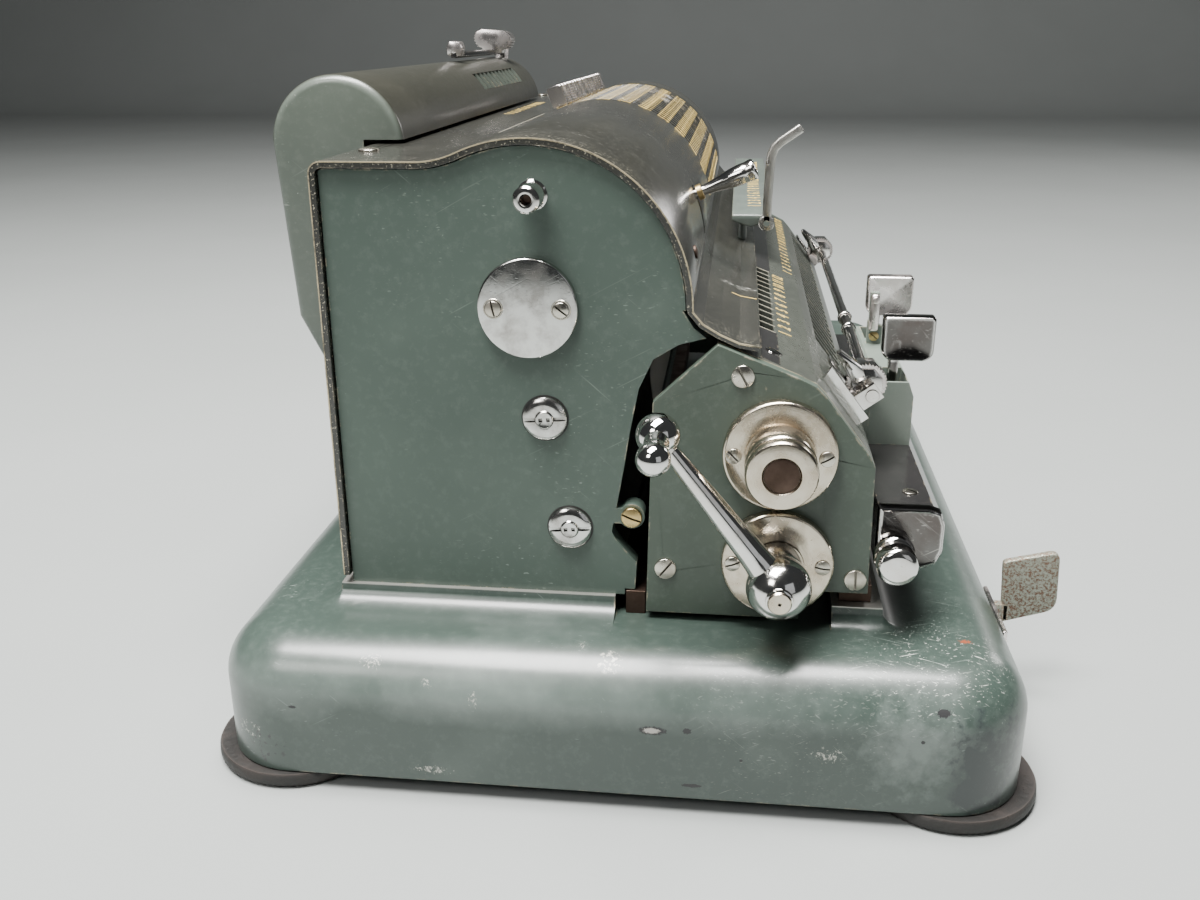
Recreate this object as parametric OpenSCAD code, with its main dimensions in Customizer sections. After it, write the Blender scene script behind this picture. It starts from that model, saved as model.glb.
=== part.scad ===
// Hand-cranked pinwheel calculator with a sliding carriage.
// X runs to the operator's right, Y to the back and Z up.
// In the modules x = 0 is the outer face of the left side plate, y = 0 the middle of the base
// and z = 0 the flat top of the base; placed() moves all of it onto the floor, centred.

/* [Body] */
// Length between the outer faces of the two side plates
body_len = 305; // [300:1:330]
// Radius of the round hump over the pinwheel drum
hump_r = 38.6; // [38:0.2:39.6]
// Distance of the drum axis behind the middle of the base
drum_y = 21.2; // [20.6:0.2:22]
// Height of the drum axis above the top of the base
drum_z = 78.6; // [78:0.2:79.6]
// Height of the flat deck above the top of the base
deck_z = 111.8; // [111:0.2:113]
// Distance of the cover's back face behind the middle of the base
back_y = 71.3; // [70.5:0.1:73]
// Thickness of the top cover's sheet
sheet_t = 1.6; // [1.2:0.1:1.8]
// Thickness of the side plates
plate_t = 5; // [4.5:0.5:6]

/* [Base] */
// How far the base reaches past each side plate
base_over = 29.2; // [27:0.2:33]
// Depth of the base from front to back
base_w = 200; // [196:1:210]
// Height of the base casting without its feet
base_h = 34; // [32:1:38]
// Wall thickness of the base casting
base_wall = 4; // [3:0.5:5]
// Radius of the base's corners seen from above
base_corner_r = 20; // [18:1:24]
// Radius of the base's rounded upper edge
base_edge_r = 14; // [12:1:16]
// Radius of a rubber foot
foot_r = 22; // [20:0.5:24]
// Height of a rubber foot below the base
foot_h = 4; // [3:0.5:6]

/* [Drum and crank] */
// Radius of the main shaft
shaft_r = 5; // [4.5:0.1:5.4]
// Distance between neighbouring columns
column_pitch = 6.6; // [6.4:0.1:6.8]
// Turn of a setting lever from one digit to the next, in degrees
digit_step = 11; // [10:0.5:11]
// Radius of the hand crank from its shaft to its grip
crank_r = 62; // [56:1:66]
// Radius of the crank's grip
grip_r = 9.5; // [8:0.5:11]

/* [Carriage] */
// Length of the carriage past its last result window
carriage_end = 5.1; // [4:0.1:7]
// Thickness of the carriage's sheet
carriage_sheet_t = 1.2; // [1:0.1:1.4]
// Thickness of the carriage's end plates
carriage_plate_t = 3; // [2.5:0.5:4]
// Radius of the result wheels
result_wheel_r = 12.8; // [12:0.1:13]
// Radius of the turn counter's wheels
counter_wheel_r = 4.2; // [3.8:0.1:4.4]

/* [Hidden] */
$fn = 64;
// Radial gap of a running fit
fit = 0.05;
// Gap between pieces that pass each other
gap = 0.3;

columns = 18;
first_column_x = 150;
drum_at = [drum_y, drum_z];
hump_front = drum_y - hump_r;
cover_over = 1.5;
cover_corner_r = 3;
deck_fillet_r = 24;
deck_fillet_at = [
    drum_y + sqrt(pow(hump_r + deck_fillet_r, 2) - pow(deck_z + deck_fillet_r - drum_z, 2)),
    deck_z + deck_fillet_r
];
deck_fillet_end = atan2(drum_z - deck_fillet_at[1], drum_y - deck_fillet_at[0]);
cover_bottom = 7.3;
land_z = 5;
apron_t = 1.2;
apron_path = [
    [hump_front + 0.2, drum_z + 1.9],
    [hump_front + 0.2, drum_z + 0.2],
    [-19.7, 75.9],
    [-23.6, 73.6],
    [-28.2, 71.6],
    [-32.9, 70.8]
];
plate_front = [
    [drum_y + 3, drum_z + 0.5],
    [hump_front + 2.8, drum_z + 0.5],
    [-17.4, 74.6],
    [-20.5, 72.2],
    [-14.2, 70.5],
    [-8.2, 66.8],
    [-4.8, 59.4],
    [-2.7, 48.4],
    [-1.3, 39.2],
    [1.7, 22.2],
    [0.7, 20],
    [-4.6, 13.9],
    [-4.1, land_z],
    [drum_y + 3, land_z]
];
plate_inset = sheet_t + gap;

// Feet and their pins in the base
foot_pin_r = 6;
foot_pin_h = 7;
foot_bevel = 1.5;
foot_boss_r = 10;

// Shafts that run beside the main shaft, and the rods that tie the side plates together
gear_teeth = 20;
gear_x = 8;
gear_w = 6;
shaft_drop = [3.4, 27.1];
transfer_at = drum_at - shaft_drop;
transfer_r = 3;
transfer_gear_r = norm(transfer_at - drum_at) / 2;
lower_cap_at = [12.1, 23];
tie_rods_at = [lower_cap_at, [60, 92], [60, 22]];
tie_rod_r = 4;
tie_spigot_r = 3;
cap_r = 5.5;
cap_boss_r = 4.5;
cap_t = 2;
left_cap_r = 11.9;
right_cap_r = 14;
right_cap_t = 4;
bearing_boss_r = shaft_r + 1.6;
crank_pin_r = 4;
crank_hub_r = 8;
crank_hub_len = 11.7;
crank_arm_x = 8;
crank_arm_t = 6;
crank_eye_r = 6;
crank_cap_t = 2;
crank_reach = 57;
cap_screw_at = 8;
right_cap_screw_at = 10.4;
inner_plate_x = 138;
inner_plate_t = 3;
stud_at = [19.6, 104.5];
stud_r = 3.1;
stud_len = 9;
stop_screw_at = [-3.3, 26.5];
stop_lug_r = 3.2;
small_screw_r = 1.9;
small_screw_h = 1;
small_shank_r = 1;
large_screw_r = 2.6;
screw_slot_w = 0.6;
screw_slot_d = 0.5;
screw_turn = 35;
deck_screw_x = 22;
deck_screw_y = 64;

// Pinwheel drum and its setting levers; angles run from the front upward
drum_hub_r = 24;
drum_bore_r = 20.5;
pinwheel_r = 31;
pin_reach = 1.4;
pinwheel_x = 0.4;
pinwheel_w = 3;
lever_ring_x = 3.8;
lever_ring_w = 2.4;
lever_ring_r = 29;
lever_x = lever_ring_x + lever_ring_w / 2;
lever_arm_w = 2;
lever_arm_t = 3.2;
lever_slot_w = lever_arm_w + 1;
lever_zero = 111.5;
lever_nine = lever_zero - 9 * digit_step;
lever_tip_w = 5.6;
lever_tip_t = 5;
lever_tip_gap = 0.4;
lever_tip_h = 7;
lever_tip_back = 0.5;
slot_margin = 4;
drum_len = columns * column_pitch;

// Turned lever that clears the setting, standing out of its own slot
clearing_x = 85;
clearing_angle = 23.5;
clearing_travel = 15;
clearing_hub_r = 9;
clearing_hub_w = 5;
clearing_slot_w = 4.2;
clearing_reach = 19;

// Housing of the check dial behind the deck
housing_x = 41;
housing_right = 49;
housing_len = body_len - housing_x - housing_right;
housing_r = 18;
housing_wall = 1.6;
housing_end_t = 2;
housing_at = [back_y + 7.5, deck_z - 0.6];
check_axle_at = housing_at + [-2.6, 7.6];
check_wheel_r = 8;
check_axle_r = 2;
housing_foot_z = 51;
housing_foot_y = 87;
housing_bend = [93.9, 65];
check_axle_in = 0.8;
zero_lever_t = 2.6;
zero_lever_hub_r = 5;
zero_bar_len = 88;
thumb_piece_x = 21;
thumb_piece_w = 16;
thumb_piece_h = 9;
end_piece_w = 6;
end_piece_h = 5.5;
check_window_low = 128;
check_window_high = 150;
check_windows = 11;
check_window_end = 28.4;
check_window_x = housing_x + housing_len - check_window_end - check_windows * column_pitch;
zero_lever_bar_r = 20.4;
zero_lever_angle = 95;
zero_pin_r = 2;

// Scale block and the bent lever on its near end
block_x = 134;
block_y = -38.2;
block_w = 13.4;
block_bottom = 76.5;
block_h = 5.5;
block_ramp = [6, 2.2];
block_stud_y = -28.5;
block_stud_r = 1.5;
block_studs_x = [block_x + 8, body_len - 10];
transfer_lever_x = 130.7;
transfer_lever_t = 3;
transfer_lever_at = [-36.4, 78.4];
transfer_pin_r = 1;

// Rails on which the carriage slides
guide_front = -6.9;
guide_w = 5;
guide_h = 6.3;
shoe_h = 1.9;
front_land_y = -65;
front_land_w = 11;
rail_gap = 0.1;
front_rail_top = 9.7;
front_rail_y = -63;
front_rail_w = 8;
shoe_y = -24;
shoe_w = 10;
rail_end = 2;

// Carriage outline, from the top rear edge over the front to the bottom
carriage_bottom = shoe_h + rail_gap;
carriage_step_z = front_rail_top + rail_gap;
carriage_path = [
    [-23.3, 71.4],
    [-41.8, 64.1],
    [-46.4, 61.9],
    [-48.6, 59.6],
    [-59.6, 45.2],
    [-60.9, 42.6],
    [-61.4, carriage_step_z]
];
carriage_underside = [
    [-49.3, carriage_step_z],
    [-45, 7],
    [-45, carriage_bottom],
    [-7.2, carriage_bottom],
    [-8.3, 57]
];
slope_top = [-48.6, 59.6];
slope_end = [-59.6, 45.2];
slope_len = norm(slope_end - slope_top);
result_at = [-38.5, 45.6];
clear_at = [-39.1, 17.8];
counter_at = [-33, 61.1];
counter_window_at = counter_at - [4, 6.1];
counter_window_w = 3.6;
result_places = 28;
counter_places = 12;
counter_x = 32;
result_x = counter_x + 3.5 * column_pitch;
carriage_len = result_x + result_places * column_pitch + carriage_end;
result_wheel_w = 2.8;
counter_wheel_w = 2.2;
window_bar = 1;
clear_shaft_r = 4;
counter_shaft_r = 1.4;
clear_gear_r = norm(result_at - clear_at) / 2;
flange_r = 13.5;
flange_t = 3;
flange_screw_at = 10.8;
bush_r = 6;
hub_r = 8.3;
hub_len = 12.2;
ball_x = -17.5;
ball_r = 7.65;
ball_pin_r = 3.2;
ball_pin_over = 0.6;
arm_low_r = 3.6;
arm_high_r = 1.8;
knob_at = [-10.7, 54.2];
knob_big_r = 5.1;
knob_small_r = 3.8;
knob_small_x = -33;
knob_pin_r = 1.2;
knob_neck_r = 2.9;
plate_screws_at = [[-29.2, 64.2], [-11.9, 14.3], [-58.1, 13.5]];
plate_screw_r = 2.7;

// Rail with sliding pointers; s runs down the sloping face and n out of it
rail_s = 14.9;
rail_n = 6;
rail_r = 1.6;
rail_x = 25.5;
rail_len = carriage_len - 10 - rail_x;
rail_low_s = rail_s - 2.4;
rail_high_n = rail_n + 2.2;
bracket_t = 2;
bracket_x = 12;
bracket_reach = 16;
bracket_wall_s = [-1.2, 14.6];
bracket_wall_n = 3.4;
pointer_w = 11;
pointer_finger_w = 3;
pointer_plate_n = 1.2;
pointer_plate_t = 1;
pointer_knob_s = 13.2;
pointer_knob_n = 6.1;
pointer_knob_r = 5.4;
near_pointer_x = rail_x + 3.5;
far_pointer_x = rail_x + rail_len - 14;

// Front bar with the two shift keys
bar_x = 0;
bar_len = 170;
bar_front = -78.1;
bar_back = -63;
bar_bottom = 16.3;
bar_top = 31;
bar_knob_at = [-67.2, 19.5];
bar_knob_r = 5.2;
bar_knob_len = 8.7;
bar_pin_r = 1.5;
near_key_x = 55;
far_key_x = 102;
near_key_at = [-81.4, 53.4];
far_key_at = [-81.7, 55];
key_pivot_z = 36.5;
key_pin_r = 1.5;
key_pocket_w = 14;
housing_front = -76.1;
housing_back = -66.5;
key_cap_t = 5;
key_cap_w = 14;
key_cap_h = 12.4;
key_cap_corner_r = 2.4;
key_stem_w = 3.2;
key_boss_r = 3;
key_box_over = 8;
key_box_top = 49;
key_plate_x = 88;
key_plate_t = 2.5;
key_plate_front = -73.2;
key_plate_back = -67.2;
key_plate_top = 56;
key_post_top = 65;
key_post_w = 2.6;
key_post_y = key_plate_back - key_post_w / 2 - 0.2;

// Tab lever in the front of the base
tab_x = 38.5;
tab_t = 3;
tab_travel = 16;
tab_low = -17.5;
tab_high = -12.5;
slot_plate_x = 18;
slot_plate_len = 27;
slot_plate_z = -24;
slot_plate_h = 14;
slot_plate_t = 1.2;

// Placing on the floor
base_top = foot_h + base_h;
foot_inset_x = 20;
foot_inset_y = 17.3;
crank_end = body_len + crank_reach;
left_end = min(knob_small_x - knob_small_r, -base_over + foot_inset_x - foot_r);
right_end = crank_end;
front_end = -base_w / 2 - 19;
back_end = base_w / 2 - foot_inset_y + foot_r;
mid_x = (left_end + right_end) / 2;
mid_y = (front_end + back_end) / 2;

function lever_name(i) = str("setting_lever_", i < 10 ? "0" : "", i);

// Moves a piece from the drawing frame onto the floor, over the middle of its footprint
module placed() translate([-mid_x, -mid_y, base_top]) children();

// Extrudes a sketch drawn in (y, z) along X
module along_x(x0, len) translate([x0, 0, 0]) rotate([90, 0, 90]) linear_extrude(len) children();

// A round rod along X
module rod_x(x0, len, at, r) translate([x0, at[0], at[1]]) rotate([0, 90, 0]) cylinder(r = r, h = len);

// Turns a profile drawn in (radius, x) round an axis along X
module turned_x(x0, at) translate([x0, at[0], at[1]]) rotate([0, 90, 0]) rotate_extrude() children();

// Turns a piece built along +Z so that it points out of an axis at an angle above the front
module radial(x, at, angle) translate([x, at[0], at[1]]) rotate([90 - angle, 0, 0]) children();

function unit(v) = v / norm(v);
function normal_of(a, b) = let (d = unit(b - a)) [-d[1], d[0]];
function reverse(v) = [for (i = [len(v) - 1 : -1 : 0]) v[i]];
function offset_path(p, d) = [
    for (i = [0 : len(p) - 1])
        let (
            n1 = i == 0 ? normal_of(p[0], p[1]) : normal_of(p[i - 1], p[i]),
            n2 = i == len(p) - 1 ? n1 : normal_of(p[i], p[i + 1]),
            s = unit(n1 + n2)
        ) p[i] + s * (d / (s * n1))
];
function arc(c, r, a0, a1, n) = [for (i = [0 : n]) let (a = a0 + (a1 - a0) * i / n) c + r * [cos(a), sin(a)]];
function rounded(w, h, r) = concat(
    arc([w / 2 - r, h / 2 - r], r, 0, 90, 4),
    arc([r - w / 2, h / 2 - r], r, 90, 180, 4),
    arc([r - w / 2, r - h / 2], r, 180, 270, 4),
    arc([w / 2 - r, r - h / 2], r, 270, 360, 4)
);
function angle_of(v) = atan2(v[1], v[0]);
function slope_pt(s, n) = slope_top + s * unit(slope_end - slope_top) - n * normal_of(slope_top, slope_end);

module sheet2d(path, t) polygon(concat(path, reverse(offset_path(path, t))));

// A straight-sided gear; turn points its first tooth
module gear2d(pitch_r, turn) {
    step = 360 / gear_teeth;
    polygon([
        for (i = [0 : gear_teeth - 1], k = [-0.27, -0.13, 0.13, 0.27])
            let (a = turn + (i + k) * step, r = abs(k) < 0.2 ? pitch_r + 0.9 : pitch_r - 1.2) r * [cos(a), sin(a)]
    ]);
}

// Outline of the body seen from its end, shrunk evenly by inset: the hump, a hollow curve and the deck
module body_shape(inset, bottom) {
    corner_r = cover_corner_r - inset;
    below = hump_r - inset - 0.4;
    meet = deck_fillet_end + 186;
    translate(drum_at) circle(r = hump_r - inset, $fn = 96);
    polygon(concat(
        [[drum_y - inset, bottom], [back_y - inset, bottom]],
        arc([back_y - cover_corner_r, deck_z - cover_corner_r], corner_r, 0, 90, 4),
        arc(deck_fillet_at, deck_fillet_r + inset, -90, deck_fillet_end + 3, 6),
        [drum_at + below * [cos(meet), sin(meet)], [drum_y - inset, drum_z]]
    ));
}

// A round-edged block as wide and long as the base, shrunk by inset
module base_block(inset, top, bottom) {
    r = base_corner_r - inset;
    e = base_edge_r - inset;
    hull()
        for (x = [base_corner_r - base_over, body_len + base_over - base_corner_r])
            for (side = [-1, 1])
                translate([x, side * (base_w / 2 - base_corner_r), 0])
                    rotate_extrude($fn = 32)
                        polygon(concat([[0, bottom], [r, bottom]], arc([r - e, top - e], e, 0, 90, 6), [[0, top]]));
}

// A low raised strip with sloping sides
module land(x0, len, y0, w) {
    hull()
        for (x = [x0, x0 + len], y = [y0, y0 + w])
            translate([x, y, -1]) cylinder(r1 = 2.5, r2 = 0.6, h = land_z + 1, $fn = 16);
}

function feet_at() = [
    for (x = [foot_inset_x - base_over, body_len + base_over - foot_inset_x], side = [-1, 1])
        [x, side * (base_w / 2 - foot_inset_y)]
];

module base_casting() placed() color("#3c4a44") {
    difference() {
        union() {
            difference() {
                base_block(0, 0, -base_h);
                base_block(base_wall, -base_wall, -base_h - 1);
            }
            land(0.6, body_len - 1.2, 1.1, back_y - 1.7);
            land(0.6, body_len - 1.2, front_land_y + 0.6, front_land_w - 1.2);
            for (p = feet_at())
                translate([p[0], p[1], -base_h]) cylinder(r = foot_boss_r, h = base_h - base_wall / 2);
        }
        for (p = feet_at())
            translate([p[0], p[1], -base_h - 1]) cylinder(r = foot_pin_r + gap, h = foot_pin_h + 2);
        translate([tab_x - tab_travel - gap, -base_w / 2 - 1, tab_low - gap])
            cube([tab_travel + tab_t + 2 * gap, base_wall + 2, tab_high - tab_low + 2 * gap]);
    }
}

module rubber_feet() placed() color("#1d1a19") {
    for (p = feet_at())
        translate([p[0], p[1], -base_h - foot_h])
            rotate_extrude()
                polygon([
                    [0, 0],
                    [foot_r - foot_bevel, 0],
                    [foot_r, foot_bevel],
                    [foot_r, foot_h],
                    [foot_pin_r, foot_h],
                    [foot_pin_r, foot_h + foot_pin_h],
                    [0, foot_h + foot_pin_h]
                ]);
}

module side_plate(x0) {
    difference() {
        along_x(x0, plate_t)
            difference() {
                union() {
                    difference() {
                        body_shape(plate_inset, land_z);
                        translate([drum_y + 3 - hump_r * 2, 0]) square([hump_r * 2, drum_z]);
                    }
                    polygon(plate_front);
                }
                translate([guide_front - 3, land_z - 1]) square([guide_w + 3 + gap, guide_h - land_z + 1 + gap]);
            }
        rod_x(x0 - 1, plate_t + 2, drum_at, bearing_boss_r + fit);
    }
}

module left_side_plate() placed() color("#2f3d37") {
    difference() {
        union() {
            side_plate(0);
            rod_x(0, plate_t, stop_screw_at, stop_lug_r);
            translate([0, stop_screw_at[0], stop_screw_at[1] - 2]) cube([plate_t, 8, 4]);
        }
        for (p = [transfer_at, lower_cap_at]) rod_x(-1, plate_t + 2, p, cap_boss_r + fit);
        for (p = [tie_rods_at[1], tie_rods_at[2]]) rod_x(1, plate_t, p, tie_spigot_r + fit);
        for (side = [-1, 1]) rod_x(-1, 4, drum_at + [side * cap_screw_at, 0], small_shank_r + fit);
        rod_x(-1, plate_t + 2, stud_at, 2 + fit);
        rod_x(-1, plate_t + 2, stop_screw_at, small_shank_r + fit);
    }
}

module right_side_plate() placed() color("#2f3d37") {
    difference() {
        side_plate(body_len - plate_t);
        for (p = tie_rods_at) rod_x(body_len - plate_t - 1, plate_t, p, tie_spigot_r + fit);
        for (side = [-1, 1])
            rod_x(body_len - 3, 4, drum_at + [side * right_cap_screw_at, 0], small_shank_r + fit);
    }
}

module inner_frame_plate() placed() color("#6f716c") {
    difference() {
        along_x(inner_plate_x, inner_plate_t)
            union() {
                body_shape(plate_inset, land_z);
                polygon([[drum_y + 3, land_z], [drum_y + 3, drum_z], [0, 60], [3, 22], [0.9, land_z]]);
            }
        rod_x(inner_plate_x - 1, inner_plate_t + 2, drum_at, shaft_r + fit);
        rod_x(inner_plate_x - 1, inner_plate_t + 2, transfer_at, transfer_r + fit);
        for (p = tie_rods_at) rod_x(inner_plate_x - 1, inner_plate_t + 2, p, tie_rod_r + fit);
    }
}

// A slot round the drum axis, cut through the hump between two angles
module hump_slot(x0, w, a0, a1)
    along_x(x0, w)
        polygon(concat(
            arc(drum_at, hump_r - 4, 180 - a1, 180 - a0, 10),
            reverse(arc(drum_at, hump_r + 4, 180 - a1, 180 - a0, 10))
        ));

module top_cover() placed() color("#333b37") {
    difference() {
        along_x(-cover_over, body_len + 2 * cover_over) {
            difference() {
                body_shape(0, cover_bottom);
                body_shape(sheet_t, cover_bottom - 1);
                translate([-body_len, 0]) square([body_len + drum_y + 6, drum_z + 0.4]);
            }
            sheet2d(apron_path, apron_t);
        }
        for (i = [0 : columns - 1])
            hump_slot(
                first_column_x + i * column_pitch + lever_x - lever_slot_w / 2,
                lever_slot_w,
                lever_nine - slot_margin,
                lever_zero + slot_margin
            );
        hump_slot(
            clearing_x - clearing_slot_w / 2,
            clearing_slot_w,
            clearing_angle - clearing_travel - 3,
            clearing_angle + slot_margin
        );
        for (x = [deck_screw_x, body_len - deck_screw_x])
            translate([x, deck_screw_y, deck_z - 3]) cylinder(r = small_shank_r + fit, h = 5);
        for (x = block_studs_x)
            translate([x, block_stud_y, 66]) cylinder(r = block_stud_r + fit, h = 9);
    }
}

module frame_tie_rods() placed() color("#8b8d8a") {
    for (p = tie_rods_at) {
        rod_x(plate_t, body_len - 2 * plate_t, p, tie_rod_r);
        rod_x(p == lower_cap_at ? gap : 1 + gap, body_len - 1 - (p == lower_cap_at ? gap : 1 + gap) - gap, p, tie_spigot_r);
    }
}

module check_dial_housing() placed() color("#36403b") {
    wall = housing_wall;
    back = housing_at[0] + housing_r;
    difference() {
        along_x(housing_x, housing_len)
            difference() {
                union() {
                    translate(housing_at) circle(r = housing_r);
                    polygon([
                        [back_y - 1, housing_foot_z],
                        [housing_foot_y, housing_foot_z],
                        housing_bend,
                        [back - 0.1, housing_at[1]],
                        [back_y - 1, housing_at[1]]
                    ]);
                }
                translate([back_y - 60 + fit, -1]) square([60, deck_z + 1 + fit]);
            }
        along_x(housing_x + housing_end_t, housing_len - 2 * housing_end_t) {
            translate(housing_at) circle(r = housing_r - wall);
            polygon([
                [back_y - 1, housing_foot_z + wall],
                [housing_foot_y - 1, housing_foot_z + wall],
                housing_bend + [-wall, 0.4],
                [back - 0.1 - wall, housing_at[1]],
                [back_y - 1, housing_at[1]]
            ]);
        }
        for (i = [0 : check_windows - 1])
            along_x(check_window_x + i * column_pitch + window_bar / 2, column_pitch - window_bar)
                polygon(concat(
                    [housing_at],
                    arc(housing_at, housing_r + 3, check_window_low, check_window_high, 2)
                ));
        rod_x(housing_x + check_axle_in, housing_len - 2 * check_axle_in, check_axle_at, check_axle_r + fit);
    }
    rod_x(housing_x + housing_len - 1, 5.5, housing_at, zero_pin_r);
}

module bearing_caps() placed() color("silver") {
    difference() {
        union() {
            rod_x(-cap_t, cap_t, drum_at, left_cap_r);
            rod_x(-1, plate_t + 1, drum_at, bearing_boss_r);
        }
        rod_x(gap, plate_t, drum_at, shaft_r + fit);
        for (side = [-1, 1])
            rod_x(-cap_t - 1, cap_t + 2, drum_at + [side * cap_screw_at, 0], small_shank_r + fit);
    }
    difference() {
        union() {
            rod_x(body_len, right_cap_t, drum_at, right_cap_r);
            rod_x(body_len - plate_t, plate_t + 1, drum_at, bearing_boss_r);
        }
        rod_x(body_len - plate_t - 1, plate_t + right_cap_t + 2, drum_at, shaft_r + fit);
        for (side = [-1, 1])
            rod_x(body_len - 1, right_cap_t + 2, drum_at + [side * right_cap_screw_at, 0], small_shank_r + fit);
    }
    for (p = [transfer_at, lower_cap_at])
        difference() {
            union() {
                rod_x(-cap_t, cap_t, p, cap_r);
                rod_x(-1, plate_t + 1, p, cap_boss_r);
            }
            rod_x(0.1, plate_t, p, transfer_r + fit);
        }
}

// A slotted screw with its head's seat at the origin, shank towards -Z
module screw(head_r, head_h, shank_r, shank_len) {
    difference() {
        cylinder(r = head_r, h = head_h);
        translate([-head_r - 1, -screw_slot_w / 2, head_h - screw_slot_d])
            cube([2 * head_r + 2, screw_slot_w, 1]);
    }
    translate([0, 0, -shank_len]) cylinder(r = shank_r, h = shank_len + 0.3);
}

// The same screw on a face that looks towards -X
module screw_left(x, at, head_r, head_h, shank_r, shank_len)
    translate([x, at[0], at[1]])
        rotate([0, -90, 0]) rotate([0, 0, screw_turn]) screw(head_r, head_h, shank_r, shank_len);

// The same screw on a face that looks towards +X
module screw_right(x, at, head_r, head_h, shank_r, shank_len)
    translate([x, at[0], at[1]])
        rotate([0, 90, 0]) rotate([0, 0, screw_turn]) screw(head_r, head_h, shank_r, shank_len);

module body_screws() placed() color("#c9c4b4") {
    for (side = [-1, 1]) {
        screw_left(-cap_t, drum_at + [side * cap_screw_at, 0], small_screw_r, small_screw_h, small_shank_r, 4);
        screw_right(
            body_len + right_cap_t, drum_at + [side * right_cap_screw_at, 0],
            small_screw_r, small_screw_h, small_shank_r, 6
        );
    }
    screw_left(0, stop_screw_at, large_screw_r, 1.6, small_shank_r, plate_t);
    for (x = [deck_screw_x, body_len - deck_screw_x])
        translate([x, deck_screw_y, deck_z]) screw(large_screw_r, 0.9, small_shank_r, 3);
}

module locating_stud() placed() color("silver") {
    difference() {
        rod_x(-stud_len, stud_len, stud_at, stud_r);
        rod_x(-stud_len - 1, 4, stud_at, 1);
    }
    rod_x(-1, plate_t, stud_at, 2);
}

module carriage_rails() placed() color("#9a9c99") {
    translate([-0.5, guide_front, 0]) cube([body_len + 1, guide_w, guide_h]);
    translate([rail_end, shoe_y, 0]) cube([body_len - 2 * rail_end, shoe_w, shoe_h]);
    translate([rail_end, front_rail_y, land_z])
        cube([body_len - 2 * rail_end, front_rail_w, front_rail_top - land_z]);
}

module scale_block() placed() color("#3c4640") {
    top = block_bottom + block_h;
    translate([0, block_y + block_w, 0])
        rotate([90, 0, 0])
            linear_extrude(block_w)
                polygon([
                    [block_x, block_bottom],
                    [body_len, block_bottom],
                    [body_len, top],
                    [block_x + block_ramp[0], top],
                    [block_x, top - block_ramp[1]]
                ]);
    for (x = block_studs_x)
        translate([x, block_stud_y, 70.6]) cylinder(r = block_stud_r, h = 7);
    rod_x(transfer_lever_x - 0.4, block_x - transfer_lever_x + 3, transfer_lever_at, transfer_pin_r);
}

module tab_slot_plate() placed() color("#6d655c") {
    difference() {
        translate([slot_plate_x, -base_w / 2 - slot_plate_t, slot_plate_z])
            cube([slot_plate_len, slot_plate_t, slot_plate_h]);
        translate([tab_x - tab_travel - gap, -base_w / 2 - 2, tab_low - gap])
            cube([tab_travel + tab_t + 2 * gap, 4, tab_high - tab_low + 2 * gap]);
    }
}

module main_shaft() placed() color("#8f918e") {
    rod_x(gap + 0.2, body_len + 16 - gap - 0.2, drum_at, shaft_r);
    translate([0, drum_y, drum_z])
        along_x(gear_x, gear_w) gear2d(transfer_gear_r, angle_of(transfer_at - drum_at));
}

module pinwheel_drum() placed() color("#a8a9a3") {
    difference() {
        union() {
            rod_x(first_column_x, drum_len, drum_at, drum_hub_r);
            for (i = [0 : columns - 1])
                translate([0, drum_y, drum_z])
                    along_x(first_column_x + i * column_pitch + pinwheel_x, pinwheel_w)
                        union() {
                            circle(r = pinwheel_r, $fn = 48);
                            for (k = [1 : 9])
                                rotate(180 - lever_zero + k * digit_step)
                                    translate([drum_hub_r, -0.8]) square([pinwheel_r - drum_hub_r + pin_reach, 1.6]);
                        }
        }
        rod_x(first_column_x + 3, drum_len - 6, drum_at, drum_bore_r);
        rod_x(first_column_x - 1, drum_len + 2, drum_at, shaft_r + fit);
    }
}

// A setting lever: a ring round the drum, an arm through the cover's slot and a finger tip
module setting_lever(i) placed() color("#d5d5d2") {
    x0 = first_column_x + (i - 1) * column_pitch;
    tip_r = hump_r + lever_tip_gap;
    difference() {
        rod_x(x0 + lever_ring_x, lever_ring_w, drum_at, lever_ring_r);
        rod_x(x0 + lever_ring_x - 1, lever_ring_w + 2, drum_at, drum_hub_r + fit);
    }
    radial(x0 + lever_x, drum_at, lever_zero) {
        translate([-lever_arm_w / 2, -lever_arm_t / 2, lever_ring_r - 2])
            cube([lever_arm_w, lever_arm_t, tip_r + 1 - lever_ring_r + 2]);
        translate([-lever_tip_w / 2, lever_tip_back, tip_r])
            rotate([90, 0, 90])
                linear_extrude(lever_tip_w)
                    polygon([
                        [-lever_tip_t / 2, 0],
                        [lever_tip_t / 2, 0],
                        [lever_tip_t / 2 + 0.3, lever_tip_h - 1],
                        [lever_tip_t / 2 - 0.7, lever_tip_h],
                        [0.7 - lever_tip_t / 2, lever_tip_h],
                        [-lever_tip_t / 2 - 0.3, lever_tip_h - 1]
                    ]);
    }
}

module crank_arm() placed() color("silver") {
    difference() {
        union() {
            rod_x(body_len + right_cap_t + gap, crank_hub_len, drum_at, crank_hub_r);
            along_x(body_len + crank_arm_x, crank_arm_t)
                polygon([
                    drum_at + [-6.5, 0],
                    drum_at + [-5, -crank_r],
                    drum_at + [5, -crank_r],
                    drum_at + [6.5, 0]
                ]);
            rod_x(body_len + crank_arm_x, crank_arm_t, drum_at - [0, crank_r], crank_eye_r);
            rod_x(body_len + crank_arm_x + 5, crank_reach - crank_arm_x - 5, drum_at - [0, crank_r], crank_pin_r);
            rod_x(crank_end - crank_cap_t, crank_cap_t, drum_at - [0, crank_r], crank_eye_r);
        }
        rod_x(body_len + right_cap_t, 20, drum_at, shaft_r + fit / 2);
    }
}

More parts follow.
